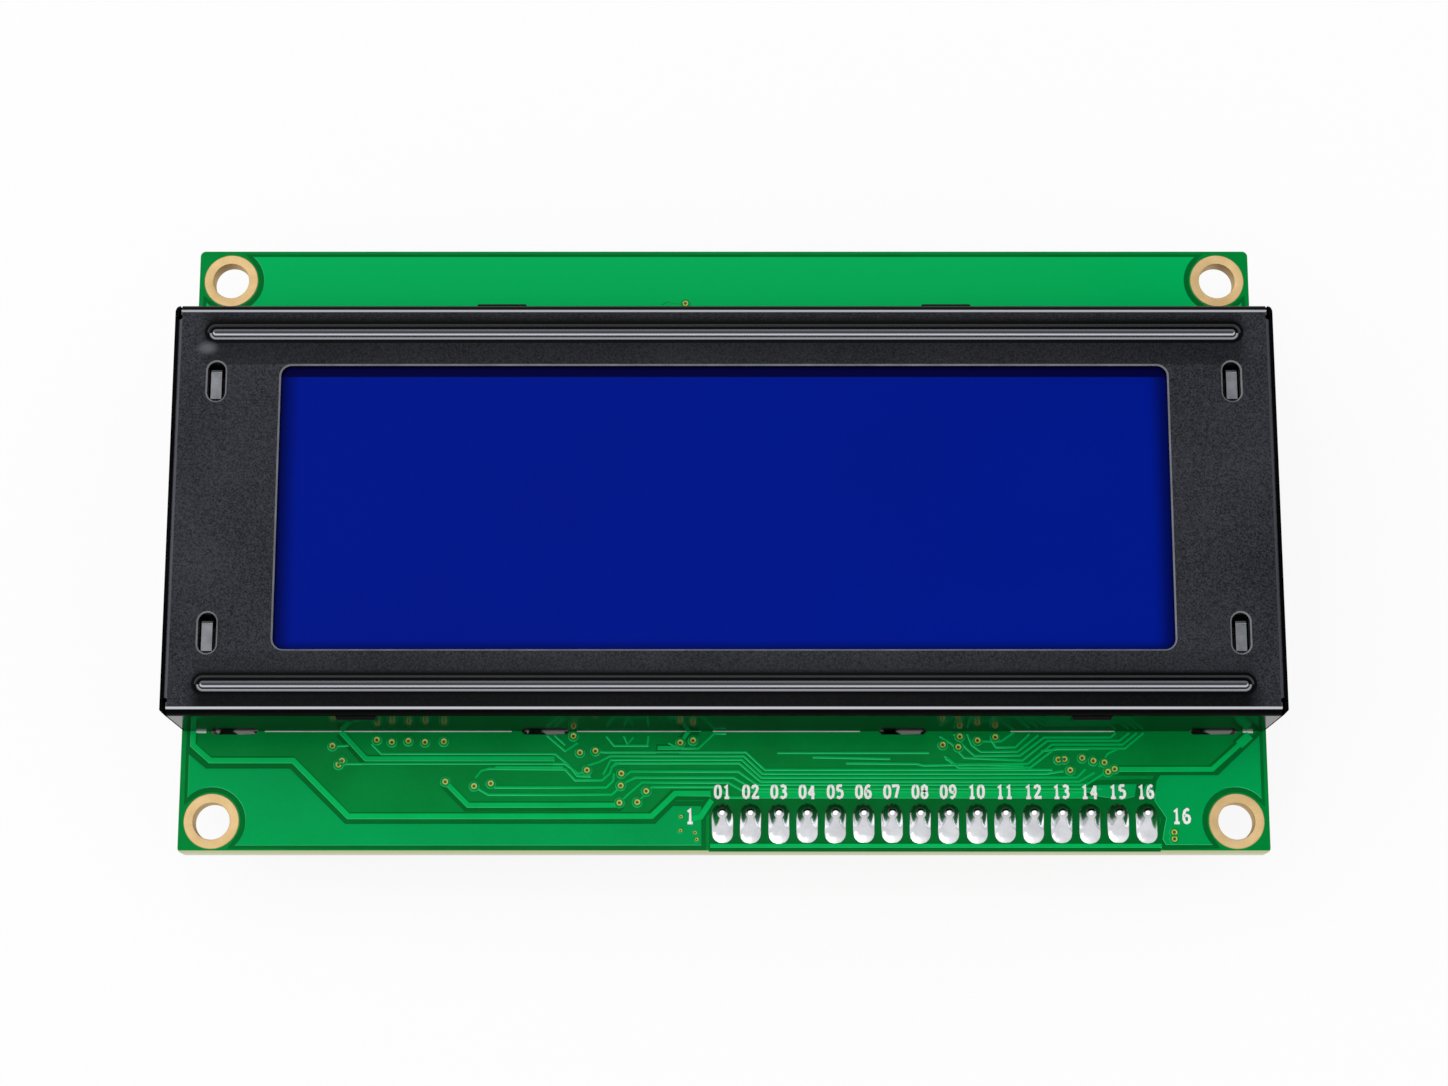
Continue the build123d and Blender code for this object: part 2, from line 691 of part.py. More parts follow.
for number in range(capacitor_count):
    place_x = capacitor_row_x + capacitor_pitch * (number - (capacitor_count - 1) / 2)
    with BuildPart() as chip_capacitor:
        chip((place_x, resistor_row_y), capacitor_height)
    chip_capacitor.part.label = f"chip_capacitor_{number + 1}"
    export_step(chip_capacitor.part, f"parts/chip_capacitor_{number + 1}.step")
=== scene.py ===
from math import cos, pi, radians

import bmesh
import bpy
import numpy as np
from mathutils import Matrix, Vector


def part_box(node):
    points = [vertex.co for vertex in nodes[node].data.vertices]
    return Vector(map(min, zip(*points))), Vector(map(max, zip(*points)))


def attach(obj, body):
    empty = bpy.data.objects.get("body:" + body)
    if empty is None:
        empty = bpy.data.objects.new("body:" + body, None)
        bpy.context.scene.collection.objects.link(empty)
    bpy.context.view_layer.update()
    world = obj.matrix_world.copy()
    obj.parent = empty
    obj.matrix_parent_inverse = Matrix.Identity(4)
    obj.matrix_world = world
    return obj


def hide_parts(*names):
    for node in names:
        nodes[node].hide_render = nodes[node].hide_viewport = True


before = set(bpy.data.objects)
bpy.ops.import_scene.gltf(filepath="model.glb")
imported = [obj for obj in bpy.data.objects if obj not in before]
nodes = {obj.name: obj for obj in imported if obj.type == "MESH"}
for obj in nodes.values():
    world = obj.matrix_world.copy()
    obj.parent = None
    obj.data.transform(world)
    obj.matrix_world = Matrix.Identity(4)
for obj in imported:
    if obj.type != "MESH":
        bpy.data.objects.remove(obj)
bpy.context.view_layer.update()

# Camera: it stands over the module and a little towards the header, so that the
# front wall of the bezel shows and the board narrows slightly towards the rear.
camera_place = (0.0, -0.0556, 0.2599)
camera_tilt = 12.13
focal_length = 72.1
camera_data = bpy.data.cameras.new("camera")
camera_data.sensor_width = 36.0
camera_data.lens = focal_length
camera = bpy.data.objects.new("camera", camera_data)
camera.location = camera_place
camera.rotation_euler = (radians(camera_tilt), 0.0, 0.0)
scene = bpy.context.scene
scene.collection.objects.link(camera)
scene.camera = camera
scene.view_settings.view_transform = "Standard"


# Studio: a white room and one soft lamp over the left side. The floor is matt white paper, its
# colour painted dark under the module as a painted shadow, where no light reaches it, and softly
# white again from the module's edges outwards.
def linear(colour, alpha=1.0):
    """Turn an sRGB hex value into linear light: a power of 2.4 above the short straight foot."""
    parts = np.array([int(colour[i:i + 2], 16) for i in (1, 3, 5)]) / 255
    light = np.where(parts <= 0.04045, parts / 12.92, ((parts + 0.055) / 1.055) ** 2.4)
    return (*light, alpha)


def add_node(tree, kind, inputs, **settings):
    """Add one shader node with its settings, and set or link each named input."""
    node = tree.nodes.new(kind)
    for name, value in settings.items():
        setattr(node, name, value)
    for name, value in inputs.items():
        if isinstance(value, bpy.types.NodeSocket):
            tree.links.new(value, node.inputs[name])
        else:
            node.inputs[name].default_value = value
    return node


def seen_ray(tree):
    """One for rays that show the room itself: from the camera, off gloss or through glass."""
    path = add_node(tree, "ShaderNodeLightPath", {})
    glossy = add_node(tree, "ShaderNodeMath",
                      {0: path.outputs["Is Camera Ray"], 1: path.outputs["Is Glossy Ray"]},
                      operation="MAXIMUM")
    clear = add_node(tree, "ShaderNodeMath",
                     {0: glossy.outputs[0], 1: path.outputs["Is Transmission Ray"]},
                     operation="MAXIMUM")
    return clear.outputs[0]


room_light = 0.62
room = bpy.data.worlds.new("white_room")
room.use_nodes = True
room_tree = room.node_tree
background = room_tree.nodes["Background"]
room_level = add_node(room_tree, "ShaderNodeMapRange",
                      {"Value": seen_ray(room_tree), "To Min": room_light, "To Max": 1.0})
room_tree.links.new(room_level.outputs[0], background.inputs["Strength"])
background.inputs["Color"].default_value = linear("#ffffff")
scene.world = room

lamp_place = Vector((-0.2, 0.04, 0.64))
lamp_data = bpy.data.lights.new("overhead_lamp", "AREA")
lamp_data.shape = "RECTANGLE"
lamp_data.size, lamp_data.size_y = 0.6, 0.6
lamp_data.energy = 1.95
lamp = bpy.data.objects.new("overhead_lamp", lamp_data)
lamp.location = lamp_place
lamp.rotation_euler = (-lamp_place).to_track_quat("-Z", "Y").to_euler()
scene.collection.objects.link(lamp)

floor_z = -0.0108
floor_reach = 1.5
shadow_share = 0.12
shade_depths = (0.0165, 0.0215)
shade_widths = (0.0478, 0.0508)
# The paper's dark colour under the module is a painted shadow.
painted_shadow_paper, open_paper = "#2a2620", "#fbfbfb"
floor_mesh = bpy.data.meshes.new("floor")
floor_corners = [(-1, -1), (1, -1), (1, 1), (-1, 1)]
floor_mesh.from_pydata([(x * floor_reach, y * floor_reach, floor_z) for x, y in floor_corners], [],
                       [(0, 1, 2, 3)])
floor = bpy.data.objects.new("floor", floor_mesh)
scene.collection.objects.link(floor)
floor_paper = bpy.data.materials.new("white_paper")
floor_paper.use_nodes = True
floor_tree = floor_paper.node_tree
floor_tree.nodes["Principled BSDF"].inputs["Roughness"].default_value = 0.9
glow = add_node(floor_tree, "ShaderNodeEmission", {"Color": linear("#ffffff"), "Strength": 1.0})


def place_along(material, axis):
    """Place on a piece along one axis, in metres."""
    place = add_node(material.node_tree, "ShaderNodeTexCoord", {}).outputs["Object"]
    return add_node(material.node_tree, "ShaderNodeSeparateXYZ", {0: place}).outputs[axis]


def open_beyond(axis, near, far):
    """One past a distance from the module's middle along an axis, and nothing nearer in."""
    apart = add_node(floor_tree, "ShaderNodeMath", {0: place_along(floor_paper, axis)},
                     operation="ABSOLUTE")
    share = add_node(floor_tree, "ShaderNodeMapRange",
                     {"Value": apart.outputs[0], "From Min": near, "From Max": far},
                     interpolation_type="SMOOTHSTEP")
    return share.outputs[0]


open_floor = add_node(floor_tree, "ShaderNodeMath",
                      {0: open_beyond("Y", *shade_depths), 1: open_beyond("X", *shade_widths)},
                      operation="MAXIMUM")
paper = add_node(floor_tree, "ShaderNodeMix",
                 {0: open_floor.outputs[0], 6: linear(painted_shadow_paper), 7: linear(open_paper)},
                 data_type="RGBA")
floor_tree.links.new(paper.outputs[2], floor_tree.nodes["Principled BSDF"].inputs["Base Color"])
glow_place = add_node(floor_tree, "ShaderNodeMath",
                      {0: seen_ray(floor_tree), 1: open_floor.outputs[0]}, operation="MULTIPLY")
glow_share = add_node(floor_tree, "ShaderNodeMath",
                      {0: glow_place.outputs[0], 1: 1.0 - shadow_share}, operation="MULTIPLY")
floor_mix = add_node(floor_tree, "ShaderNodeMixShader",
                     {0: glow_share.outputs[0],
                      1: floor_tree.nodes["Principled BSDF"].outputs[0], 2: glow.outputs[0]})
floor_tree.links.new(floor_mix.outputs[0], floor_tree.nodes["Material Output"].inputs["Surface"])
floor_mesh.materials.append(floor_paper)


# Circuit board: glass-fibre laminate under a green solder mask. The mask is printed and
# cured, so it is glossy; the routed edges show the bare straw-coloured laminate.
mm = 0.001
noise_low, noise_high = 0.35, 0.65


def finish(name, light, dark, patch, grain, relief, settings, speckle=0.2):
    """Material whose colour drifts between two hex values in patches, over a fine bumpy grain.

    patch, grain and relief are in millimetres; speckle is the grain's share of the colour;
    settings go straight onto the shader.
    """
    material = bpy.data.materials.new(name)
    material.use_nodes = True
    tree = material.node_tree
    shader = tree.nodes["Principled BSDF"]
    for socket, value in settings.items():
        shader.inputs[socket].default_value = value
    place = add_node(tree, "ShaderNodeTexCoord", {}).outputs["Object"]
    patches = add_node(tree, "ShaderNodeTexNoise",
                       {"Vector": place, "Scale": 1 / (patch * mm), "Detail": 4.0})
    grains = add_node(tree, "ShaderNodeTexNoise",
                      {"Vector": place, "Scale": 1 / (grain * mm), "Detail": 2.0})
    mottle = add_node(tree, "ShaderNodeMix",
                      {0: speckle, 2: patches.outputs["Fac"], 3: grains.outputs["Fac"]})
    share = add_node(tree, "ShaderNodeMapRange",
                     {"Value": mottle.outputs[0], "From Min": noise_low, "From Max": noise_high})
    colour = add_node(tree, "ShaderNodeMix",
                      {0: share.outputs[0], 6: linear(dark), 7: linear(light)}, data_type="RGBA")
    tree.links.new(colour.outputs[2], shader.inputs["Base Color"])
    bump = add_node(tree, "ShaderNodeBump",
                    {"Height": grains.outputs["Fac"], "Distance": relief * mm, "Strength": 1.0})
    tree.links.new(bump.outputs[0], shader.inputs["Normal"])
    return material


def paint_over(material, share, colour):
    """Mix a colour over the material's own: none of it where the share is nothing, all at one."""
    tree = material.node_tree
    base = tree.nodes["Principled BSDF"].inputs["Base Color"]
    paint = add_node(tree, "ShaderNodeMix", {0: share, 6: base.links[0].from_socket, 7: colour},
                     data_type="RGBA")
    tree.links.new(paint.outputs[2], base)


def tint_between(material, axis, low, high, colour):
    """Paint what lies between two places along an axis, in millimetres, with another colour."""
    middle, half = (low + high) / 2 * mm, (high - low) / 2 * mm
    near = add_node(material.node_tree, "ShaderNodeMath",
                    {0: place_along(material, axis), 1: middle, 2: half}, operation="COMPARE")
    paint_over(material, near.outputs[0], linear(colour))


def tint_facing(material, toward, low, high, colour, strength):
    """Paint the faces that look a given way: none where the cosine is low, all where it is high."""
    tree = material.node_tree
    look = add_node(tree, "ShaderNodeTexCoord", {}).outputs["Normal"]
    cosine = add_node(tree, "ShaderNodeVectorMath", {0: look, 1: Vector(toward).normalized()},
                      operation="DOT_PRODUCT")
    share = add_node(tree, "ShaderNodeMapRange",
                     {"Value": cosine.outputs["Value"], "From Min": low, "From Max": high,
                      "To Min": 0.0, "To Max": strength}, interpolation_type="SMOOTHSTEP")
    paint_over(material, share.outputs[0], linear(colour))


def coat_node(name, material):
    """Give a CAD node one material all over."""
    slots = nodes[name].data.materials
    slots.clear()
    slots.append(material)


mask_gloss = {"Roughness": 0.12, "IOR": 1.5, "Specular IOR Level": 0.015}
board_mask = finish("green_solder_mask", "#008d3d", "#008135", 6.0, 0.5, 0.002, mask_gloss)
# The mask stops short of the routed edges: the sides and a strip along the front are bare.
tint_between(board_mask, "Z", -1.56, -0.04, "#c9c9a2")
tint_between(board_mask, "Y", -28.3, -27.93, "#c6c89c")
coat_node("pcb", board_mask)


# Copper under the mask: tracks, lands and the dark gaps round them. They are etched foil,
# so each one stands a little proud of the board and its sloped edge catches the light.
def place_mesh(name, points, faces, material, slot, face_slots=None, angle=40):
    """Make a piece that rides on the module, from points in millimetres, smooth below an angle."""
    mesh = bpy.data.meshes.new(name)
    mesh.from_pydata((np.asarray(points) * mm).tolist(), [], [list(map(int, f)) for f in faces])
    materials = material if isinstance(material, list) else [material]
    for each in materials:
        mesh.materials.append(each)
    if face_slots is not None:
        mesh.polygons.foreach_set("material_index", np.asarray(face_slots, dtype=np.int32))
    mesh.shade_smooth()
    mesh.set_sharp_from_angle(angle=radians(angle))
    piece = bpy.data.objects.new(name, mesh)
    scene.collection.objects.link(piece)
    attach(piece, "root")
    return piece


def gather(parts):
    """Join (points, faces) pairs into one pair, with the faces' numbers moved along."""
    points, faces, start = [], [], 0
    for part_points, part_faces in parts:
        points.append(np.asarray(part_points, dtype=float))
        faces += [[int(i) + start for i in face] for face in part_faces]
        start += len(part_points)
    return np.vstack(points), faces


def crossways(path, closed=False):
    """Unit vectors across a path, to its left, stretched at each turn to keep the width."""
    path = np.asarray(path, dtype=float)
    if closed:
        after = np.roll(path, -1, axis=0) - path
        after /= np.linalg.norm(after, axis=1)[:, None]
        before = np.roll(after, 1, axis=0)
    else:
        runs = np.diff(path, axis=0)
        runs /= np.linalg.norm(runs, axis=1)[:, None]
        before, after = np.vstack([runs[:1], runs]), np.vstack([runs, runs[-1:]])
    ahead = before + after
    ahead /= np.linalg.norm(ahead, axis=1)[:, None]
    stretch = 1 / np.clip((ahead * after).sum(axis=1), 0.6, 1.0)
    return np.stack([-ahead[:, 1], ahead[:, 0]], axis=1) * stretch[:, None]


foil_height = 0.05
foil_slope = 0.07
foil_foot = -0.02


def track(path, width, height=foil_height, slope=foil_slope):
    """Strip along a path: a low trapezium carried across each point, closed at both ends."""
    path = np.asarray(path, dtype=float)
    half = width / 2
    section = np.array([(-half - slope, foil_foot), (-half, height), (half, height),
                        (half + slope, foil_foot)])
    across = crossways(path)
    flat = path[:, None, :] + across[:, None, :] * section[None, :, :1]
    level = np.broadcast_to(section[None, :, 1:], (len(path), 4, 1))
    points = np.concatenate([flat, level], axis=2).reshape(-1, 3)
    start = np.arange(len(path) - 1)[:, None] * 4
    side = np.arange(4)[None, :]
    turn = (side + 1) % 4
    faces = np.stack([start + side, start + 4 + side, start + 4 + turn, start + turn], axis=2)
    last = (len(path) - 1) * 4
    caps = [[0, 1, 2, 3], [last + 3, last + 2, last + 1, last]]
    return points, faces.reshape(-1, 4).tolist() + caps


def arc(centre, radius, start, end, count=18):
    """Points on a circle from one angle to another, in degrees, either way round."""
    angles = np.radians(np.linspace(start, end, count))
    return np.stack([centre[0] + radius * np.cos(angles), centre[1] + radius * np.sin(angles)],
                    axis=1)


def way_round(outline):
    """1 for an outline that runs anticlockwise and -1 for a clockwise one: the sign of its area."""
    ahead = np.roll(outline, -1, axis=0)
    return int(np.sign((outline[:, 0] * ahead[:, 1] - ahead[:, 0] * outline[:, 1]).sum()))


def land(outline, height=foil_height, slope=foil_slope):
    """Plateau on an outline: the outline at the foot, and moved inwards by the slope on top."""
    outline = np.asarray(outline, dtype=float)
    outline = outline[::way_round(outline)]
    inner = outline + crossways(outline, closed=True) * slope
    count = len(outline)
    points = np.vstack([np.column_stack([outline, np.full(count, foil_foot)]),
                        np.column_stack([inner, np.full(count, height)])])
    here = np.arange(count)
    there = np.roll(here, -1)
    sides = np.stack([here, there, there + count, here + count], axis=1).tolist()
    return points, sides + [list(range(count, 2 * count)), list(range(count - 1, -1, -1))]


screw_x, screw_y = 46.05, 25.3
gap_radius = 3.05
front_left_land = np.vstack([
    [(-48.3, -19.2), (-46.7, -20.5), (-39.1, -20.5), (-34.0, -25.5), (-6.2, -25.5), (-4.6, -23.9),
     (-2.0, -23.9), (-2.0, -27.5)],
    arc((-screw_x, -screw_y), gap_radius, -46, 137),
])
front_right_land = np.vstack([
    [(48.4, -17.5), (47.7, -18.1), (44.5, -21.1), (39.3, -21.1), (38.9, -21.7), (38.7, -23.5),
     (39.7, -25.0), (39.3, -26.9), (39.6, -27.45)],
    arc((screw_x, -screw_y), gap_radius, -135, -320),
])
rear_land = np.vstack([
    [(-48.3, 20.2), (48.3, 20.2)],
    arc((screw_x, screw_y), gap_radius, -42, -231),
    arc((-screw_x, screw_y), gap_radius, 51, -138),
])
supply_land = [(33.2, -22.0), (37.2, -21.9), (37.0, -23.1), (35.8, -23.4), (33.0, -23.0)]
ground_land = [(38.0, -21.9), (38.6, -21.9), (38.9, -23.3), (38.2, -23.3), (37.5, -22.8)]
lands = [front_left_land, front_right_land, rear_land, supply_land, ground_land]
gap_width, gap_height, gap_slope = 0.42, 0.012, 0.02
track_gap, gap_shift = 0.5, (-0.12, -0.12)


def widened(outline, margin):
    """The outline moved outwards by a margin."""
    outline = np.asarray(outline, dtype=float)
    return outline - way_round(outline) * crossways(outline, closed=True) * margin


pad_first_x, pad_pitch, pad_count = -0.15, 2.54, 16
pad_row_y = -24.7
pad_last_x = pad_first_x + pad_pitch * (pad_count - 1)

wide_tracks = {
    0.45: [
        [(-47.95, -17.0), (-47.95, -18.4), (-46.35, -19.8), (-38.85, -19.8), (-33.75, -24.85),
         (-6.5, -24.85), (-4.4, -22.8), (-1.2, -22.8)],
        [(-1.1, -23.4), (-2.1, -24.9), (-2.9, -25.1)],
    ],
    0.4: [
        [(-34.6, -17.2), (-32.3, -19.65), (-15.3, -19.65)],
        [(-25.1, -21.75), (-23.0, -23.85), (-9.4, -23.85), (-9.2, -23.65)],
        [(46.5, -18.4), (44.0, -20.6), (35.2, -20.6)],
        [(3.0, -22.9), (32.6, -22.9)],
    ],
    0.75: [[(47.5, -17.5), (46.5, -18.4)]],
    0.3: [[(-2.1, -17.0), (-3.1, -17.0), (-4.2, -18.65), (-6.0, -18.65)],
          [(pad_first_x - 1.1, -27.5), (pad_last_x + 1.3, -27.5)]],
}
fine_tracks = [
    [(-35.35, -18.5), (-33.9, -18.45)],
    [(-31.8, -18.3), (-30.9, -19.2), (-15.2, -19.2), (-14.0, -20.2), (-13.2, -21.2),
     (-12.0, -21.25)],
    [(-34.45, -20.1), (-14.3, -20.1), (-13.1, -21.0), (-12.5, -20.8)],
    [(-22.5, -22.15), (-21.2, -22.9), (-10.1, -22.9), (-9.3, -22.2)],
    [(-21.0, -21.9), (-20.6, -22.25), (-10.6, -22.25), (-10.0, -21.7), (-9.9, -21.0)],
    [(-22.4, -21.4), (-21.9, -20.75), (-21.2, -20.55), (-14.3, -20.6), (-13.4, -21.6),
     (-11.0, -21.6), (-10.3, -21.0), (-10.1, -20.4), (-9.5, -20.05)],
    [(-20.6, -20.42), (-14.5, -20.42)],
    [(-16.0, -17.5), (-14.3, -18.95), (-13.2, -18.2)],
    [(-15.3, -17.5), (-14.3, -18.4)],
    [(-11.6, -18.95), (-10.7, -19.05), (2.0, -19.05), (3.7, -20.65), (29.6, -20.65)],
    [(-12.4, -20.3), (-11.3, -19.95), (-10.3, -19.4), (1.8, -19.4), (3.5, -21.0), (29.0, -21.0),
     (30.6, -20.75)],
    [(-10.9, -21.1), (-10.2, -19.75), (1.6, -19.72), (3.4, -21.35), (31.8, -21.35), (32.6, -20.6)],
    [(-10.2, -20.5), (-9.8, -20.05), (1.4, -20.05), (3.3, -21.7), (32.0, -21.7), (33.4, -20.9)],
    [(-8.8, -21.1), (-8.4, -20.8), (1.3, -20.8), (3.0, -22.0), (32.6, -22.0), (34.4, -20.9)],
    [(-8.9, -21.8), (-8.0, -21.35), (0.9, -21.35), (2.6, -22.35), (34.0, -22.35)],
    [(-9.2, -23.4), (-7.4, -21.8), (0.4, -21.8), (1.8, -22.6), (33.0, -22.62)],
    [(-7.0, -22.4), (-6.4, -22.2), (-0.6, -22.2), (0.6, -23.15), (33.4, -23.15)],
    [(-8.2, -23.9), (-7.4, -23.2), (-6.6, -22.5)],
    [(-5.0, -18.2), (-4.1, -18.7), (-2.3, -18.7), (-0.9, -17.35), (0.2, -17.35)],
    [(-10.6, -17.6), (-9.9, -18.45), (-6.9, -18.45), (-6.8, -17.6)],
    [(-9.0, -17.6), (-8.7, -18.3), (-8.2, -17.7)],
    [(4.8, -19.1), (18.5, -19.1)],
    [(8.0, -19.5), (15.0, -19.65)],
    [(11.0, -20.05), (17.4, -20.1), (18.0, -20.25), (23.0, -20.15), (27.0, -20.3)],
    [(26.2, -17.25), (25.0, -18.05), (23.2, -18.05), (22.9, -18.2)],
    [(19.9, -19.4), (20.9, -20.15), (27.4, -20.1), (29.6, -18.35), (36.0, -18.35), (37.3, -17.3)],
    [(20.0, -19.6), (21.2, -20.45), (27.6, -20.45), (29.9, -18.7), (36.2, -18.7), (37.9, -17.3)],
    [(19.5, -17.6), (20.6, -18.3), (21.7, -19.55), (26.9, -19.8), (29.2, -18.0), (35.7, -18.0),
     (36.6, -17.3)],
    [(20.8, -17.4), (21.8, -18.6), (22.6, -19.35), (26.7, -19.35), (28.9, -17.7), (34.9, -17.7),
     (35.4, -17.3)],
    [(22.0, -17.4), (22.4, -18.4), (23.2, -19.0), (26.5, -19.0), (28.4, -17.5)],
    [(24.1, -17.9), (24.6, -18.6), (26.3, -18.6), (27.6, -17.4)],
    [(28.6, -18.95), (30.2, -18.75), (32.9, -18.75)],
    [(33.8, -20.4), (34.6, -19.2), (35.6, -18.7)],
    [(-5.8, 23.05), (-5.2, 23.35), (-4.4, 23.1)],
]
fine_width = 0.13
rail_y = -17.15
rails = [(-41.5, -19.2), (-13.3, -3.0), (-1.0, 12.3), (25.9, 35.3)]
rail_ends = [(-47.7, -46.8), (46.9, 47.8)]

row_gap = [(pad_first_x - 1.2, -23.3), (pad_last_x + 1.2, -23.3), (pad_last_x + 1.2, -27.4),
           (pad_first_x - 1.2, -27.4)]
layer_step = 0.0012
gap_outlines = [widened(outline, gap_width) for outline in lands] + [row_gap]
gap_parts = [land(outline, gap_height + layer_step * level, gap_slope)
             for level, outline in enumerate(gap_outlines)]
wide_paths = [(path, width) for width, paths in wide_tracks.items() for path in paths]
gap_parts += [track(np.array(path) + gap_shift, width + track_gap,
                    gap_height + layer_step * (level + len(gap_outlines)), gap_slope)
              for level, (path, width) in enumerate(wide_paths)]
# The mask is darkest in the gaps, over plain laminate.
gap_green = finish("mask_over_laminate", "#00712e", "#006628", 5.0, 0.5, 0.002, mask_gloss)
place_mesh("copper_gaps", *gather(gap_parts), gap_green, "board")

# Over copper the mask is lighter, because the foil reflects through it. The foil's slopes that
# look to the front left carry a painted highlight, and the land behind the bezel is painted a
# lighter green, as painted light.
front_left, slope_painted_highlight = (-0.6, -0.7, 0.3), "#4ceca0"
land_green = finish("mask_over_copper", "#00a654", "#009d4e", 12.0, 0.4, 0.002, mask_gloss)
land_parts = [land(outline, foil_height + layer_step * level)
              for level, outline in enumerate(lands)]
# Painted light: the land behind the bezel is painted a lighter green than the front lands.
tint_between(land_green, "Y", 19.0, 29.0, "#00b65d")
tint_facing(land_green, front_left, 0.5, 0.8, slope_painted_highlight, 0.75)
place_mesh("copper_lands", *gather(land_parts), land_green, "board")

# On narrow tracks the mask flows thin, so they are the lightest green.
track_base, track_slope = foil_height + 0.01, 0.06
all_tracks = wide_paths + [(path, fine_width) for path in fine_tracks]
track_parts = [track(path, width, track_base + layer_step * level, track_slope)
               for level, (path, width) in enumerate(all_tracks)]
track_green = finish("mask_over_track", "#00c060", "#00b455", 5.0, 0.4, 0.002, mask_gloss)
# Painted highlight on the track slopes that look to the front left.
tint_facing(track_green, front_left, 0.5, 0.8, slope_painted_highlight, 0.75)
place_mesh("copper_tracks", *gather(track_parts), track_green, "board")

# Thin near-white strips run along the foot of the bezel's front wall, with a wider piece at each
# end.
pale_strip = finish("near_white_strip", "#e2f4ea", "#c4dccf", 3.0, 0.2, 0.002, {"Roughness": 0.3})
rail_width, rail_slope, rail_end_width = 0.06, 0.04, 0.24
rail_parts = [track([(start, rail_y), (end, rail_y)], rail_width, foil_height, rail_slope)
              for start, end in rails]
rail_parts += [track([(start, rail_y), (end, rail_y)], rail_end_width) for start, end in rail_ends]
place_mesh("bare_rails", *gather(rail_parts), pale_strip, "board")


# Vias: small plated holes that carry a track to the board's other side. The mask flows over
# their collars and dips olive into the hole. The collars' outer slopes are lighter, partly thin
# mask and partly a painted highlight, and the plug's dark brown is painted shade for the hole.
def ring_quads(rings, around, closed):
    """Quads between each ring of points and the next, and from the last to the first if closed."""
    level = np.arange(rings if closed else rings - 1)[:, None]
    row, above = level * around, (level + 1) % rings * around
    column = np.arange(around)[None, :]
    beside = (column + 1) % around
    quads = np.stack([row + column, row + beside, above + beside, above + column], axis=2)
    return quads.reshape(-1, 4)


def turned(profile, centre, count):
    """Surface of revolution: a closed loop of (radius, height) pairs about an upright axis."""
    profile = np.asarray(profile, dtype=float)
    angles = np.linspace(0, 2 * pi, count, endpoint=False)
    ring_x = centre[0] + profile[:, :1] * np.cos(angles)
    ring_y = centre[1] + profile[:, :1] * np.sin(angles)
    height = np.broadcast_to(profile[:, 1:], ring_x.shape)
    points = np.stack([ring_x, ring_y, height], axis=2).reshape(-1, 3)
    return points, ring_quads(len(profile), count, True)


via_places = [
    (-35.35, -18.5), (-31.35, -17.95), (-30.0, -18.15), (-28.5, -18.05), (-27.0, -18.15),
    (-25.3, -18.1), (-34.45, -19.85), (-34.75, -20.2), (-25.1, -21.75), (-22.5, -22.15),
    (-21.0, -21.9), (-9.4, -23.65), (-9.3, -22.1), (-9.25, -21.0), (-12.35, -20.7), (-13.0, -19.1),
    (-11.6, -18.95), (-13.6, -17.6), (-7.8, -23.6), (-7.0, -22.6), (-3.95, -18.2), (-2.8, -18.0),
    (19.75, -18.4), (21.15, -18.6), (21.3, -17.65), (22.9, -18.0), (24.5, -17.7), (30.15, -19.75),
    (30.7, -19.7), (31.2, -20.7), (32.3, -19.6), (33.3, -19.85), (34.3, -20.0), (34.6, -20.85),
    (35.2, -20.6), (40.4, -26.3), (40.4, -26.9), (-3.6, 23.1),
]
small_via_places = [(-3.85, -24.9), (-3.9, -26.15), (-2.6, -26.35), (-2.45, -26.95)]
via_radius, via_hole, via_top = 0.41, 0.26, 0.165
via_count = 20


def via(place, size):
    """Collar round a via: a flat ring with a sloped outer side, turned about its axis."""
    collar = [(via_radius * size + 0.1, foil_foot), (via_radius * size, via_top - 0.01),
              (via_hole * size + 0.05, via_top), (via_hole * size, via_top - 0.02),
              (via_hole * size, foil_foot)]
    return turned(collar, place, via_count)


def via_eye(place, size):
    """The dish inside a collar: an olive slope down to a dark plug, turned about one axis."""
    bowl = [(0.001, foil_foot), (via_hole * size, foil_foot), (via_hole * size, via_top - 0.02),
            (via_hole * size * 0.55, via_top - 0.04), (0.001, via_top - 0.05)]
    return turned(bowl, place, via_count)


via_sizes = [(place, 1.0) for place in via_places] + [(place, 0.6) for place in small_via_places]
collar_green = finish("mask_over_collar", "#12963f", "#008a3c", 0.5, 0.2, 0.004, mask_gloss)
# Lighter outer slopes: partly thin mask, partly a painted highlight.
collar_slope_highlight = finish("thin_mask_and_painted_highlight_on_collar", "#28d084", "#12b468", 0.5, 0.2, 0.004, mask_gloss)
slope_olive = finish("thin_mask_in_via", "#bccc28", "#9aac1a", 0.3, 0.1, 0.004, {"Roughness": 0.3})
# The plug's dark brown is painted shade for the depth of the hole.
hole_painted_shade = finish("via_plug_painted_shade", "#3c2c08", "#1c1404", 0.25, 0.1, 0.004, {"Roughness": 0.35})
collar_points, collar_faces = gather([via(*each) for each in via_sizes])
collar_slots = np.tile(np.repeat([1, 0, 0, 0, 0], via_count), len(via_sizes))
place_mesh("via_collars", collar_points, collar_faces, [collar_green, collar_slope_highlight], "board",
           collar_slots)
eye_points, eye_faces = gather([via_eye(*each) for each in via_sizes])
eye_slots = np.tile(np.repeat([0, 0, 0, 1, 1], via_count), len(via_sizes))
place_mesh("via_eyes", eye_points, eye_faces, [slope_olive, hole_painted_shade], "board", eye_slots)


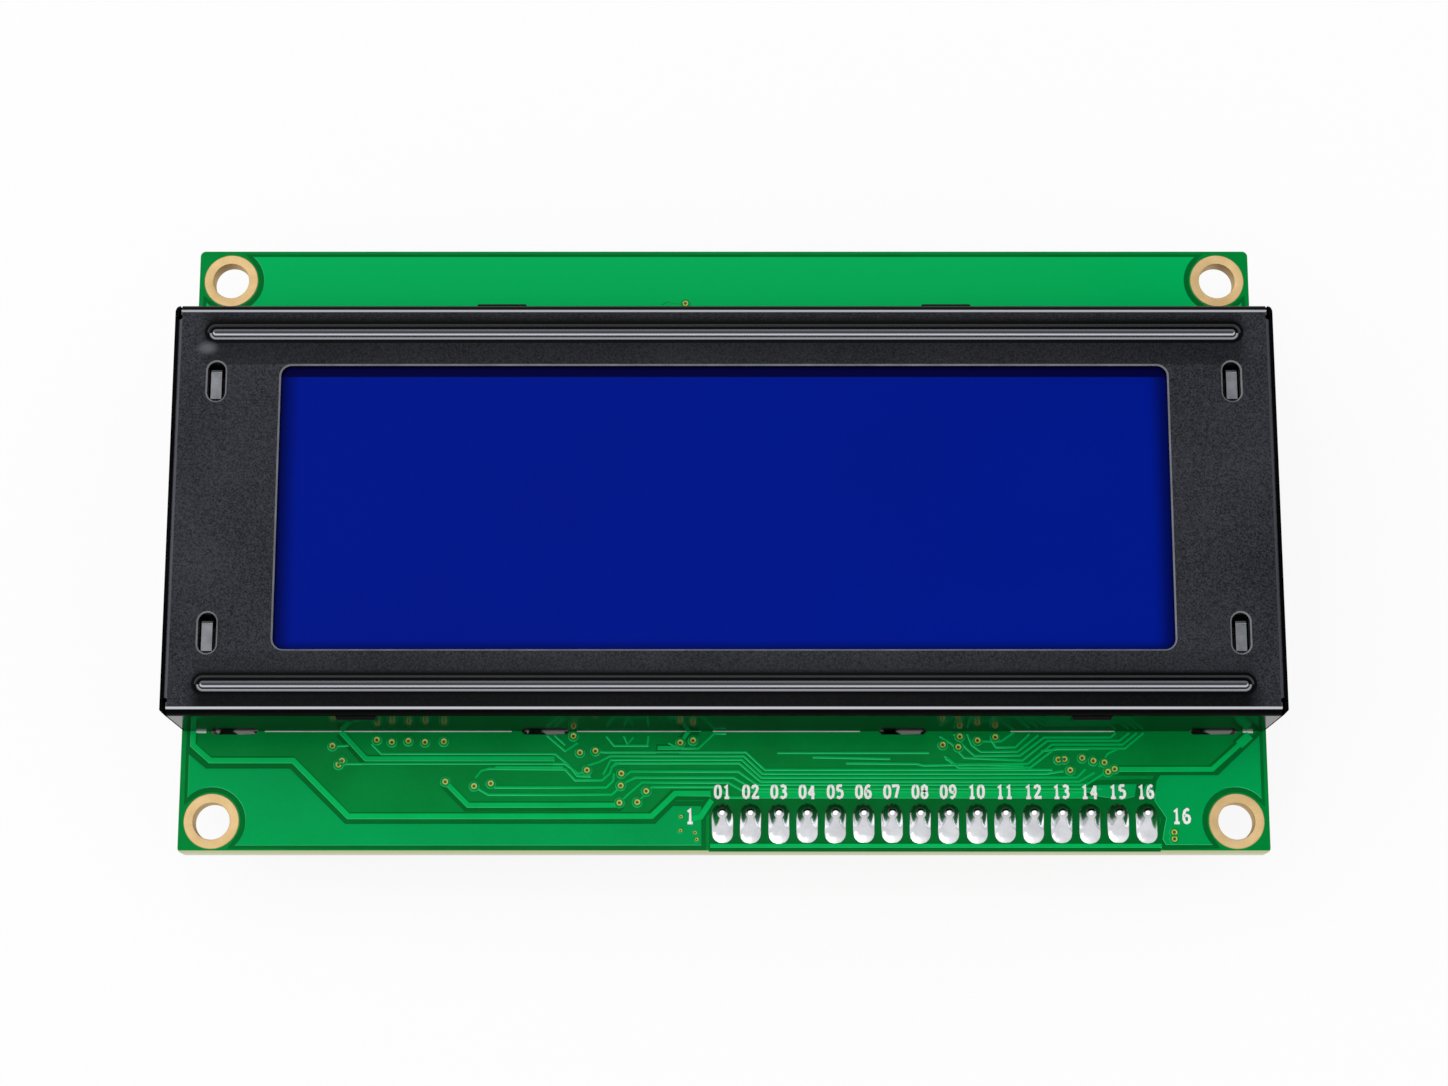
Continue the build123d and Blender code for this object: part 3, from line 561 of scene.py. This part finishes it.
# White marks: epoxy ink screened onto the mask, thick and matt. Plain numbers stand over the
# pads, and the first and last pin are numbered again beside the row.
digit_strokes = {
    "0": [[(3, 11), (1.3, 10), (0.6, 7.6), (0.6, 3.4), (1.3, 1), (3, 0), (4.7, 1), (5.4, 3.4),
           (5.4, 7.6), (4.7, 10), (3, 11)]],
    "1": [[(1.2, 8.9), (3.1, 10.6), (3.1, 0)], [(1.0, 0), (5.2, 0)]],
    "2": [[(0.7, 8.4), (1.4, 10.3), (3, 11), (4.7, 10.2), (5.2, 8.3), (4.3, 5.9), (0.8, 0.2)],
          [(0.5, 0.2), (5.5, 0.2), (5.5, 1.7)]],
    "3": [[(0.9, 10), (2.7, 11), (4.6, 10.2), (5.0, 8.3), (4.2, 6.5), (2.4, 6.0)],
          [(2.4, 6.0), (4.6, 5.2), (5.4, 3.1), (4.7, 0.9), (2.7, 0), (0.6, 0.9)]],
    "4": [[(4.2, 0), (4.2, 10.8)], [(4.2, 10.8), (0.5, 3.4)], [(0.4, 3.3), (5.9, 3.3)],
          [(3.0, 0), (5.5, 0)]],
    "5": [[(5.1, 11), (1.1, 11)], [(1.2, 11), (1.0, 6.3)], [(1.0, 6.2), (3, 6.9), (5, 5.8),
          (5.5, 3.3), (4.7, 0.9), (2.7, 0), (0.6, 0.9)]],
    "6": [[(5, 10.1), (3.4, 11), (1.6, 9.6), (0.7, 6.0), (0.7, 2.8), (1.7, 0.5), (3.1, 0),
          (4.8, 0.9), (5.4, 3.2), (4.7, 5.5), (3.1, 6.2), (1.2, 5.1)]],
    "7": [[(0.6, 9.4), (0.6, 10.9), (5.4, 10.9)], [(5.3, 10.8), (2.6, 0)]],
    "8": [[(3, 6), (1.2, 7.1), (1.0, 9.5), (3, 11), (5.0, 9.5), (4.8, 7.1), (3, 6), (1.0, 4.7),
          (0.6, 2.3), (1.6, 0.4), (3, 0), (4.4, 0.4), (5.4, 2.3), (5.0, 4.7), (3, 6)]],
    "9": [[(1, 0.9), (2.6, 0), (4.4, 1.4), (5.3, 5.0), (5.3, 8.2), (4.3, 10.5), (2.9, 11),
          (1.2, 10.1), (0.6, 7.8), (1.3, 5.5), (2.9, 4.8), (4.8, 5.9)]],
}
digit_pitch = 8.0
ink_width, ink_top, ink_slope = 0.23, 0.16, 0.01
number_y, end_number_y, end_number_unit = -22.65, -24.85, 0.112


def number(text, centre, unit=0.1):
    """Stroke the digits of a number round a centre point; a unit is a tenth of a millimetre."""
    parts = []
    left = centre[0] - (digit_pitch * (len(text) - 1) + 6) / 2 * unit
    for place, digit in enumerate(text):
        corner = np.array([left + place * digit_pitch * unit, centre[1] - 5.5 * unit])
        for stroke in digit_strokes[digit]:
            parts.append(track(np.array(stroke) * unit + corner, ink_width,
                               ink_top + layer_step * len(parts), ink_slope))
    return parts


mark_parts = []
for pin in range(pad_count):
    mark_parts += number(f"{pin + 1:02d}", (pad_first_x + pad_pitch * pin, number_y))
mark_parts += number("1", (-3.05, end_number_y), end_number_unit)
mark_parts += number("16", (41.1, end_number_y), end_number_unit)
ink_white = finish("white_epoxy_ink", "#ffffff", "#f1f3f0", 1.0, 0.15, 0.004,
                   {"Roughness": 0.6, "Specular IOR Level": 0.3})
place_mesh("board_marks", *gather(mark_parts), ink_white, "board")


# Screw rings: copper plated through each corner hole and round it on both faces, then with
# gold over it. The gold follows the copper's grain, so it is matt and shines only softly.
ring_hole, ring_outer, ring_count = 1.65, 2.5, 96
ring_top, ring_under = 0.05, -1.65
edge = 0.05
ring_profile = [
    (ring_hole, ring_under + edge), (ring_hole + edge, ring_under), (ring_outer - edge, ring_under),
    (ring_outer, ring_under + edge), (ring_outer, -1.58), (1.72, -1.56), (1.72, -0.04),
    (ring_outer, -0.02), (ring_outer, ring_top - edge), (ring_outer - edge, ring_top),
    (ring_hole + 0.09, ring_top), (ring_hole + 0.03, ring_top - 0.02), (ring_hole, ring_top - 0.09),
]
ring_parts = []
for side_x in (-1, 1):
    for side_y in (-1, 1):
        ring_parts.append(turned(ring_profile, (side_x * screw_x, side_y * screw_y), ring_count))
gold = finish("gold_plating", "#cbb184", "#bda171", 2.0, 0.12, 0.003,
              {"Metallic": 1.0, "Roughness": 0.6})
screw_rings = place_mesh("screw_rings", *gather(ring_parts), gold, "gold_plate")
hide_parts(*[name for name in nodes if name.startswith("plated_ring_")])


# Bezel: sheet steel, pressed and folded, then sprayed in satin black, with a fine orange-peel
# grain. The lamp is too soft to draw the bright lines of its beads and bends, so their light and
# shade are painted into the coat's colour, by place and by which way the steel looks: painted
# shade on steep faces and round the beads, painted highlights and shade across the beads,
# painted highlights along the bends and in a dent.
bezel_top, bezel_half_x, bezel_half_y, display_y = 10.0, 49.36, 18.62, 1.48
bend_radius = 1.0
bend_start = bezel_top - bend_radius
weld_distance, slack, square_cosine = 0.002, 0.01, 0.9999


def read_rows(items, name, width, kind=float):
    """One property of all of a mesh's items, as an array with a row for each."""
    values = np.empty(len(items) * width, dtype=kind)
    items.foreach_get(name, values)
    return values.reshape(-1, width)


def merged_copy(source, name, angle):
    """Copy of a CAD node with its triangles joined, its flats flat and its bends round.

    A corner's direction is the mean of the faces round its vertex that turn less than the
    angle away, its own face's on a flat, and away from the bend's centre line on a bend.
    """
    solid = bmesh.new()
    solid.from_mesh(nodes[source].data)
    bmesh.ops.remove_doubles(solid, verts=solid.verts, dist=weld_distance * mm)
    mesh = bpy.data.meshes.new(name)
    solid.to_mesh(mesh)
    solid.free()
    count = len(mesh.loops)
    vertex = read_rows(mesh.loops, "vertex_index", 1, np.int64)[:, 0]
    sizes = read_rows(mesh.polygons, "loop_total", 1, np.int64)[:, 0]
    face = np.repeat(np.arange(len(sizes)), sizes)
    facing = read_rows(mesh.polygons, "normal", 3)
    area = read_rows(mesh.polygons, "area", 1)[:, 0]
    square = np.abs(facing).max(axis=1) > square_cosine
    order = np.argsort(vertex, kind="stable")
    shared = np.bincount(vertex)[vertex]
    first = np.searchsorted(vertex[order], vertex)
    here = np.repeat(np.arange(count), shared)
    step = np.arange(len(here)) - np.repeat(np.cumsum(shared) - shared, shared)
    there = order[np.repeat(first, shared) + step]
    near = (facing[face[here]] * facing[face[there]]).sum(axis=1) > cos(radians(angle))
    pull = facing[face[there]] * (area[face[there]] * near)[:, None]
    mean = np.stack([np.bincount(here, pull[:, axis], count) for axis in range(3)], axis=1)
    mean = np.where(square[face][:, None], facing[face], mean)
    point = read_rows(mesh.vertices, "co", 3)[vertex] / mm - (0.0, display_y, bend_start)
    for axis, half in ((0, bezel_half_x), (1, bezel_half_y)):
        out = np.zeros((count, 3))
        out[:, axis] = np.sign(point[:, axis]) * (np.abs(point[:, axis]) - half + bend_radius)
        out[:, 2] = point[:, 2]
        bent = ((np.abs(point[:, axis]) > half - bend_radius - slack) & (point[:, 2] > -slack)
                & (np.abs(facing[face][:, 1 - axis]) < slack) & ~square[face])
        out *= np.sign((out * facing[face]).sum(axis=1))[:, None]
        mean = np.where(bent[:, None], out, mean)
    mean /= np.linalg.norm(mean, axis=1)[:, None]
    mesh.shade_smooth()
    mesh.normals_split_custom_set(mean.tolist())
    piece = bpy.data.objects.new(name, mesh)
    scene.collection.objects.link(piece)
    return piece


def paint_bead_light_and_shade(material, side, stops, reach, fading):
    """Paint a ramp of painted highlights and shade across a bead and round its ends, from its reach
    before to its reach behind.

    The ramp reads the distance from the line between the two ends' centres, with Y's sign, and
    fades out over the given length past them.
    """
    tree = material.node_tree
    ahead = add_node(tree, "ShaderNodeMath",
                     {0: place_along(material, "Y"), 1: (display_y + side * bead_offset_y) * mm},
                     operation="SUBTRACT")
    aside = add_node(tree, "ShaderNodeMath", {0: place_along(material, "X")}, operation="ABSOLUTE")
    past_end = add_node(tree, "ShaderNodeMath",
                        {0: aside.outputs[0], 1: (bead_half_length - bead_half_width) * mm},
                        operation="SUBTRACT")
    outside = add_node(tree, "ShaderNodeMath", {0: past_end.outputs[0], 1: 0.0},
                       operation="MAXIMUM")
    offset = add_node(tree, "ShaderNodeCombineXYZ", {0: outside.outputs[0], 1: ahead.outputs[0]})
    distance = add_node(tree, "ShaderNodeVectorMath", {0: offset.outputs[0]}, operation="LENGTH")
    facing = add_node(tree, "ShaderNodeMath", {0: ahead.outputs[0]}, operation="SIGN")
    signed = add_node(tree, "ShaderNodeMath", {0: distance.outputs["Value"], 1: facing.outputs[0]},
                      operation="MULTIPLY")
    across = add_node(tree, "ShaderNodeMapRange",
                      {"Value": signed.outputs[0], "From Min": -reach * mm, "From Max": reach * mm})
    ramp = add_node(tree, "ShaderNodeValToRGB", {"Fac": across.outputs[0]})
    marks = ramp.color_ramp.elements
    for where, colour, share in stops:
        mark = marks.new((where / reach + 1) / 2)
        mark.color = linear(colour, share)
    marks.remove(marks[0])
    marks.remove(marks[-1])
    within_reach = {0: across.outputs[0], 1: 0.5, 2: 0.499}
    near = add_node(tree, "ShaderNodeMath", within_reach, operation="COMPARE")
    fade = add_node(tree, "ShaderNodeMapRange",
                    {"Value": outside.outputs[0], "From Max": fading * mm,
                     "To Min": 1.0, "To Max": 0.0}, interpolation_type="SMOOTHSTEP")
    within = add_node(tree, "ShaderNodeMath", {0: near.outputs[0], 1: fade.outputs[0]},
                      operation="MULTIPLY")
    share = add_node(tree, "ShaderNodeMath", {0: ramp.outputs["Alpha"], 1: within.outputs[0]},
                     operation="MULTIPLY")
    paint_over(material, share.outputs[0], ramp.outputs["Color"])


def dent_with_painted_highlight(material, centre, reach, depth, colour, strength):
    """Dish in the sheet: its depth falls off smoothly from its centre, where a painted highlight is
    mixed into the colour.

    The distance is measured in an ellipse with the given reach along X and Y.
    """
    tree = material.node_tree
    normal = tree.nodes["Principled BSDF"].inputs["Normal"]
    place = add_node(tree, "ShaderNodeTexCoord", {}).outputs["Object"]
    middle = Vector((*centre, bezel_top)) * mm
    apart = add_node(tree, "ShaderNodeVectorMath", {0: place, 1: middle}, operation="SUBTRACT")
    scaled = add_node(tree, "ShaderNodeVectorMath",
                      {0: apart.outputs[0], 1: Vector((1 / reach[0], 1 / reach[1], 1.0)) / mm},
                      operation="MULTIPLY")
    distance = add_node(tree, "ShaderNodeVectorMath", {0: scaled.outputs[0]}, operation="LENGTH")
    share = add_node(tree, "ShaderNodeMapRange",
                     {"Value": distance.outputs["Value"], "From Min": 0.1, "From Max": 1.0,
                      "To Min": strength, "To Max": 0.0}, interpolation_type="SMOOTHSTEP")
    paint_over(material, share.outputs[0], linear(colour))
    dish = add_node(tree, "ShaderNodeBump",
                    {"Height": share.outputs[0], "Distance": -depth * mm, "Strength": 1.0,
                     "Normal": normal.links[0].from_socket})
    tree.links.new(dish.outputs[0], normal)


bead_offset_y, bead_half_length, bead_half_width = 15.94, 46.18, 0.675
# Each ramp of painted highlights and shade runs across a bead from front to rear: millimetres from
# its middle, colour, cover.
groove_painted_light = [
    (-0.72, "#08080a", 1.0), (-0.64, "#16161a", 1.0), (-0.56, "#8c8d94", 1.0),
    (-0.45, "#b4b5bc", 1.0), (-0.38, "#141418", 1.0), (-0.32, "#2c2c30", 1.0),
    (-0.26, "#a0a1a8", 1.0), (-0.2, "#f0f2f8", 1.0), (-0.14, "#9c9ea4", 1.0),
    (-0.08, "#36373c", 1.0), (0.08, "#46474c", 1.0), (0.2, "#787a80", 1.0),
    (0.28, "#6c6e74", 1.0), (0.34, "#040405", 1.0), (0.58, "#020202", 1.0),
    (0.66, "#4a4c4e", 1.0), (0.72, "#4a4c4e", 1.0), (0.78, "#060607", 1.0),
]
lip_painted_shade = {
    -1: [(-2.4, "#030304", 0.85), (-0.7, "#020203", 0.9), (0.7, "#020203", 1.0),
         (0.92, "#020203", 0.95), (1.35, "#1c1c20", 0.45), (2.9, "#1c1c20", 0.15)],
    1: [(-2.9, "#101013", 0.45), (-0.7, "#0c0c0e", 0.65), (0.7, "#010101", 1.0),
        (0.95, "#020203", 0.95), (1.4, "#0e0e10", 0.6), (1.9, "#161618", 0.3)],
}
satin_black = finish("satin_black_coat", "#404147", "#1c1d21", 9.0, 0.14, 0.003,
                     {"Roughness": 0.16, "IOR": 1.5, "Specular IOR Level": 0.02}, speckle=0.8)
# Painted shade: faces that turn steeply away from the top are painted near black.
tint_facing(satin_black, (0, 0, 1), 0.9, 0.85, "#020203", 1.0)
# Painted shade on the lips beside each bead, and painted highlights and shade across it.
for side in (-1, 1):
    paint_bead_light_and_shade(satin_black, side, lip_painted_shade[side], reach=3.0, fading=2.0)
    paint_bead_light_and_shade(satin_black, side, groove_painted_light, reach=1.0, fading=12.0)
# A shallow dent near the rear left corner, with a painted highlight at its centre.
dent_with_painted_highlight(satin_black, (-46.2, 15.95), reach=(1.25, 0.8), depth=0.05, colour="#74767e",
             strength=0.55)
# Painted highlights along the bends, by which way each bend looks.
bend_painted_highlights = {(0, -0.42, 0.908): "#cfd1d8", (0, 0.31, 0.951): "#b4b6bc",
               (-0.3, 0, 0.954): "#54565c", (0.3, 0, 0.954): "#46484e"}
for toward, colour in bend_painted_highlights.items():
    tint_facing(satin_black, toward, 0.988, 1.0, colour, 1.0)
# The walls mirror a little of the board. The sides hardly do, because seen at so flat an angle
# they would mirror the white room. Both take the coat darker than the top does, so the difference
# is painted light and shade. The window's and slots' cut edges are painted grey, and the tongues
# inside the slots a lighter grey, as painted highlights.
wall_black_shaded = finish("satin_black_coat_on_walls_painted_shade", "#0c0c0e", "#060607", 9.0, 0.19, 0.002,
                    {"Roughness": 0.13, "IOR": 1.5, "Specular IOR Level": 0.07})
side_black_shaded = finish("satin_black_coat_on_sides_painted_shade", "#0c0c0e", "#060607", 9.0, 0.19, 0.002,
                    {"Roughness": 0.3, "IOR": 1.5, "Specular IOR Level": 0.0001})
edge_painted_highlight = finish("coat_with_painted_highlight_on_cut_edge", "#808186", "#66676c", 2.0, 0.2, 0.002, {"Roughness": 0.3})
tongue_painted_highlight = finish("coat_with_painted_highlight_on_tongue", "#74777e", "#54575d", 1.0, 0.14, 0.002, {"Roughness": 0.3})
bezel_shell = merged_copy("bezel", "bezel_shell", 28)
shell_mesh = bezel_shell.data
for material in (satin_black, edge_painted_highlight, tongue_painted_highlight, wall_black_shaded, side_black_shaded):
    shell_mesh.materials.append(material)
aside, _, rise = read_rows(shell_mesh.polygons, "normal", 3).T
centre = read_rows(shell_mesh.polygons, "center", 3) / mm
between_beads = 15.0
rim_rise, rim_slack = 0.707, 0.02
tongue_drop, tongue_slack, level_rise = 0.12, 0.03, 0.9
under_rise, side_lean = -0.1, 0.5
on_plate = np.abs(centre[:, 0]) < bezel_half_x - bend_radius
inner = (np.abs(centre[:, 1] - display_y) < between_beads) & on_plate
rim = (np.abs(rise - rim_rise) < rim_slack) & inner
tongue = np.abs(centre[:, 2] - (bezel_top - tongue_drop)) < tongue_slack
tongue &= (rise > level_rise) & inner
wall = (centre[:, 2] < bend_start) | (rise < under_rise)
side_wall = (np.abs(aside) > side_lean) & (np.abs(centre[:, 0]) > bezel_half_x - bend_radius)
coats = np.select([rim, tongue, side_wall, wall], [1, 2, 4, 3], 0)
shell_mesh.polygons.foreach_set("material_index", coats.astype(np.int32))
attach(bezel_shell, "root")
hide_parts("bezel")


# Display cell: two glass plates sealed round their edge, with a polarizing film on each face. The
# front film is blue and matt enough to hide reflections, and the shade of the bezel's rim on its
# edges is painted into its colour.
window_half_x, window_half_y = 39.55, 12.85
rear_shade, shade_blur = 0.85, 0.12
blue_film = finish("blue_polarizing_film", "#00198f", "#001688", 25.0, 0.3, 0.001,
                   {"Roughness": 0.3, "IOR": 1.5, "Specular IOR Level": 0.01})


def shade_near(material, axis, edge_place, reach, inward, colour, strength):
    """Tint a piece towards one edge: full at the edge and nothing at the given reach inside it."""
    share = add_node(material.node_tree, "ShaderNodeMapRange",
                     {"Value": place_along(material, axis), "From Min": edge_place * mm,
                      "From Max": (edge_place + inward * reach) * mm,
                      "To Min": strength, "To Max": 0.0}, interpolation_type="SMOOTHSTEP")
    paint_over(material, share.outputs[0], linear(colour))


# Painted shade along the film's edges under the bezel's rim.
for side in (-1, 1):
    shade_near(blue_film, "X", side * window_half_x, 1.9, -side, "#000848", 0.85)
shade_near(blue_film, "Y", display_y - window_half_y, 1.0, 1, "#000a50", 0.7)
shade_near(blue_film, "Y", display_y + window_half_y - rear_shade, shade_blur, -1, "#02023a", 1.0)
coat_node("lcd_front_polarizer", blue_film)

# Float glass is clear and mirror smooth, the rear film a plain grey, and the seal a dull resin.
clear_glass = finish("float_glass", "#e8f2f2", "#dfecec", 20.0, 1.0, 0.0005,
                     {"Roughness": 0.02, "IOR": 1.52, "Transmission Weight": 0.9})
grey_film = finish("rear_polarizing_film", "#5c636b", "#50575f", 20.0, 0.5, 0.001,
                   {"Roughness": 0.4})
seal_resin = finish("cured_seal_resin", "#45453c", "#3a3a32", 3.0, 0.4, 0.002, {"Roughness": 0.5})
coat_node("lcd_front_glass", clear_glass)
coat_node("lcd_rear_glass", clear_glass)
coat_node("lcd_rear_polarizer", grey_film)
coat_node("lcd_seal", seal_resin)


# Rubber connectors: strips of silicone, sliced from a block of thin conducting and plain layers
# and squeezed between the glass and the board. The layers show as a fine pink grain.
zebra_rubber = finish("layered_silicone_rubber", "#d9a7ae", "#c48f97", 0.2, 0.1, 0.003,
                      {"Roughness": 0.7})
coat_node("zebra_strip_front", zebra_rubber)
coat_node("zebra_strip_rear", zebra_rubber)


# Backlight: a clear acrylic plate between white films, in a moulded white tray. Diodes under
# yellow phosphor resin stand on narrow boards at both ends, and tinned wires feed them.
white_film = finish("white_film", "#f4f4f0", "#e8e8e4", 10.0, 0.5, 0.001, {"Roughness": 0.6})
acrylic = finish("clear_acrylic", "#eef4f4", "#e4eeee", 20.0, 1.0, 0.0005,
                 {"Roughness": 0.05, "IOR": 1.49, "Transmission Weight": 0.8})
white_plastic = finish("moulded_white_plastic", "#e9e7e0", "#dedcd4", 6.0, 0.2, 0.004,
                       {"Roughness": 0.5, "IOR": 1.53})
led_board_white = finish("white_coated_laminate", "#d8d6cc", "#c9c7bd", 3.0, 0.3, 0.003,
                         {"Roughness": 0.5})
led_resin = finish("phosphor_resin", "#e6d26a", "#d8c050", 0.6, 0.2, 0.003, {"Roughness": 0.35})
tinned_wire = finish("tinned_wire", "#cfd0d2", "#b4b6b9", 0.8, 0.1, 0.003,
                     {"Metallic": 1.0, "Roughness": 0.3})
# The tray is painted black under the bezel's tongues, a painted shade for the deep pockets there,
# so that no white shows through their slots.
pocket_x, pocket_half_width = 44.9, 2.2
for side in (-1, 1):
    tint_between(white_plastic, "X", side * pocket_x - pocket_half_width,
                 side * pocket_x + pocket_half_width, "#0a0a0b")
coat_node("diffuser_film", white_film)
coat_node("reflector_film", white_film)
coat_node("light_guide", acrylic)
coat_node("backlight_housing", white_plastic)
for end in ("left", "right"):
    coat_node(f"led_board_{end}", led_board_white)
    coat_node(f"led_row_{end}", led_resin)
    coat_node(f"backlight_lead_{end}", tinned_wire)


# Header: square brass pins, flashed with gold, pressed through a moulded bar of black plastic
# behind the board. The bar is satin, and the gold is thin and bright.
black_plastic = finish("moulded_black_plastic", "#1b1b1c", "#131314", 3.0, 0.15, 0.005,
                       {"Roughness": 0.45, "IOR": 1.55})
pin_gold = finish("gold_flashed_brass", "#e9c77c", "#d9b364", 1.0, 0.08, 0.002,
                  {"Metallic": 1.0, "Roughness": 0.25})
coat_node("header_strip", black_plastic)
for pin in range(pad_count):
    coat_node(f"header_pin_{pin + 1}", pin_gold)


# Solder joints: each pin stands in a cone of bright tin-lead solder that wetted its long pad.
# The slope is hollow, steep at the pin and thin at the pad's edge, with a crease to the front.
# Its colour is painted darker towards the rear, a painted reflection of the dark bezel, and near
# white where it lies flat, a painted reflection of the white room.
pad_half_width, pad_front, pad_rear = 0.965, 2.7, 1.0
collar, solder_top, edge_thickness = 0.46, 1.12, 0.07
slope_power = 1.4
crease_width, crease_start, crease_end = 0.16, 0.4, 2.2
joint_columns, joint_rows = 64, 22
joint_random = np.random.default_rng(7)


def pad_edge(angles):
    """Distance from the pin to the obround pad's edge along each angle."""
    front_centre, rear_centre = -pad_front + pad_half_width, pad_rear - pad_half_width
    side = pad_half_width / np.maximum(np.abs(np.cos(angles)), 1e-6)
    reach = side
    for centre, facing in ((front_centre, -1), (rear_centre, 1)):
        inside = np.maximum(pad_half_width ** 2 - (centre * np.cos(angles)) ** 2, 0)
        curve = centre * np.sin(angles) + np.sqrt(inside)
        beyond = facing * (side * np.sin(angles) - centre) > 0
        reach = np.where(beyond, curve, reach)
    return reach


def solder_joint(place):
    """Grid of angle and slope: the radius runs from the pad's edge to the collar, as the height
    rises with about the square of the way in, and then over the pin's tip to a pole."""
    angles = np.linspace(0, 2 * pi, joint_columns, endpoint=False)
    edge_reach = pad_edge(angles) * (1 + 0.02 * np.sin(angles * 3 + joint_random.uniform(0, 6)))
    way_out = np.linspace(1, 0, joint_rows)[:, None] ** slope_power
    radius = collar + (edge_reach[None, :] - collar) * way_out
    height = solder_top * (1 - way_out) ** joint_random.uniform(1.8, 2.2)
    height = height + edge_thickness * (1 - way_out ** 10)
    x, y = radius * np.cos(angles), radius * np.sin(angles)
    ahead = np.clip(-y - crease_start, 0, 1) * np.clip(crease_end + y, 0, 1)
    crease = np.exp(-(x / crease_width) ** 2) * ahead
    height = height - joint_random.uniform(0.05, 0.1) * crease
    tip = np.array([(0.4, 0.04), (0.33, 0.112), (0.27, 0.16), (0.18, 0.188), (0.08, 0.2),
                    (0.001, 0.2016)])
    tip_radius = np.broadcast_to(tip[:, :1], (len(tip), joint_columns))
    x = np.vstack([x[:1], x, tip_radius * np.cos(angles)])
    y = np.vstack([y[:1], y, tip_radius * np.sin(angles)])
    level = np.broadcast_to(solder_top + edge_thickness + tip[:, 1:], tip_radius.shape)
    foot = np.full((1, joint_columns), foil_foot)
    height = np.vstack([foot, height, level])
    points = np.stack([x + place[0], y + place[1], height], axis=2).reshape(-1, 3)
    faces = ring_quads(len(height), joint_columns, False).tolist()
    faces.append(list(range(joint_columns - 1, -1, -1)))
    faces.append([(len(height) - 1) * joint_columns + i for i in range(joint_columns)])
    return points, faces


bright_solder = finish("bright_tin_lead_solder", "#dadbde", "#c8c9cd", 1.6, 0.35, 0.0003,
                       {"Metallic": 1.0, "Roughness": 0.2})
# Painted reflections: darker towards the rear of each pad, near white on the flat parts.
shade_near(bright_solder, "Y", pad_row_y + pad_rear, 1.7, -1, "#4c4438", 0.85)
tint_facing(bright_solder, (0, 0, 1), 0.95, 0.995, "#f6f6f8", 0.9)
joints = [solder_joint((pad_first_x + pad_pitch * pin, pad_row_y)) for pin in range(pad_count)]
solder_cones = place_mesh("solder_cones", *gather(joints), bright_solder, "solder", angle=60)
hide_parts("solder_joints")
coat_node("backlight_solder", bright_solder)


# Epoxy domes: a drop of black epoxy is poured over each bare chip on the back. It flows out to
# a low dome and sets glossy, with a faint waviness.
dome_height, dome_row_y, board_back = 1.5, 3.0, -1.6
dome_power, rim_share, board_overlap = 1.15, 0.985, 0.02
dome_columns, dome_rows = 96, 20
domes = {"driver_blob_left": (-29.0, 7.0), "controller_blob": (2.0, 8.0),
         "driver_blob_right": (29.0, 7.0)}


def dome(centre_x, radius):
    """Upside-down dome: its depth is a power of the root of one minus the radius squared, over a
    rim that wanders a little as a poured drop does. The rim's ring goes on into the board."""
    angles = np.linspace(0, 2 * pi, dome_columns, endpoint=False)
    wander = 1 + 0.012 * np.sin(3 * angles + centre_x) + 0.008 * np.sin(5 * angles + 1)
    out = np.sin(np.linspace(pi / 2, 0.0005, dome_rows))[:, None]
    depth = dome_height * np.sqrt(1 - out ** 2) ** dome_power
    out, depth = np.vstack([out[:1], out]), np.vstack([[[-board_overlap]], depth])
    x = centre_x + radius * rim_share * out * np.cos(angles) * wander
    y = dome_row_y + radius * rim_share * out * np.sin(angles) * wander
    points = np.stack([x, y, np.broadcast_to(board_back - depth, x.shape)], axis=2)
    faces = ring_quads(len(out), dome_columns, False)[:, [0, 3, 2, 1]].tolist()
    faces.append(list(range(dome_columns)))
    faces.append([dome_rows * dome_columns + i for i in range(dome_columns - 1, -1, -1)])
    return points.reshape(-1, 3), faces


black_epoxy = finish("black_epoxy", "#0d0d0f", "#08080a", 3.0, 0.8, 0.01,
                     {"Roughness": 0.18, "IOR": 1.55})
for name, (centre_x, radius) in domes.items():
    piece = place_mesh(f"{name}_drop", *dome(centre_x, radius), black_epoxy, "epoxy", angle=60)
    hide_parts(name)


# Chip parts on the back: small fired ceramic bodies, black and glazed or dull tan, with bright
# tinned caps that are soldered flat to the board.
resistor_black = finish("glazed_resistor_ceramic", "#1a1a1d", "#101012", 0.4, 0.1, 0.003,
                        {"Roughness": 0.3})
capacitor_tan = finish("capacitor_ceramic", "#b08a5e", "#9c774e", 0.4, 0.1, 0.003,
                       {"Roughness": 0.4})
cap_tin = finish("tinned_cap", "#d8d9db", "#c2c4c7", 0.5, 0.1, 0.004,
                 {"Metallic": 1.0, "Roughness": 0.3})
chip_length, cap_length = 2.0, 0.4
for name, piece in nodes.items():
    if not name.startswith("chip_"):
        continue
    coat_node(name, resistor_black if name.startswith("chip_resistor") else capacitor_tan)
    mesh = piece.data
    mesh.materials.append(cap_tin)
    low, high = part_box(name)
    middle_x = (low.x + high.x) / 2
    cap_start = (chip_length / 2 - cap_length) * mm
    for face in mesh.polygons:
        if abs(face.center.x - middle_x) > cap_start:
            face.material_index = 1
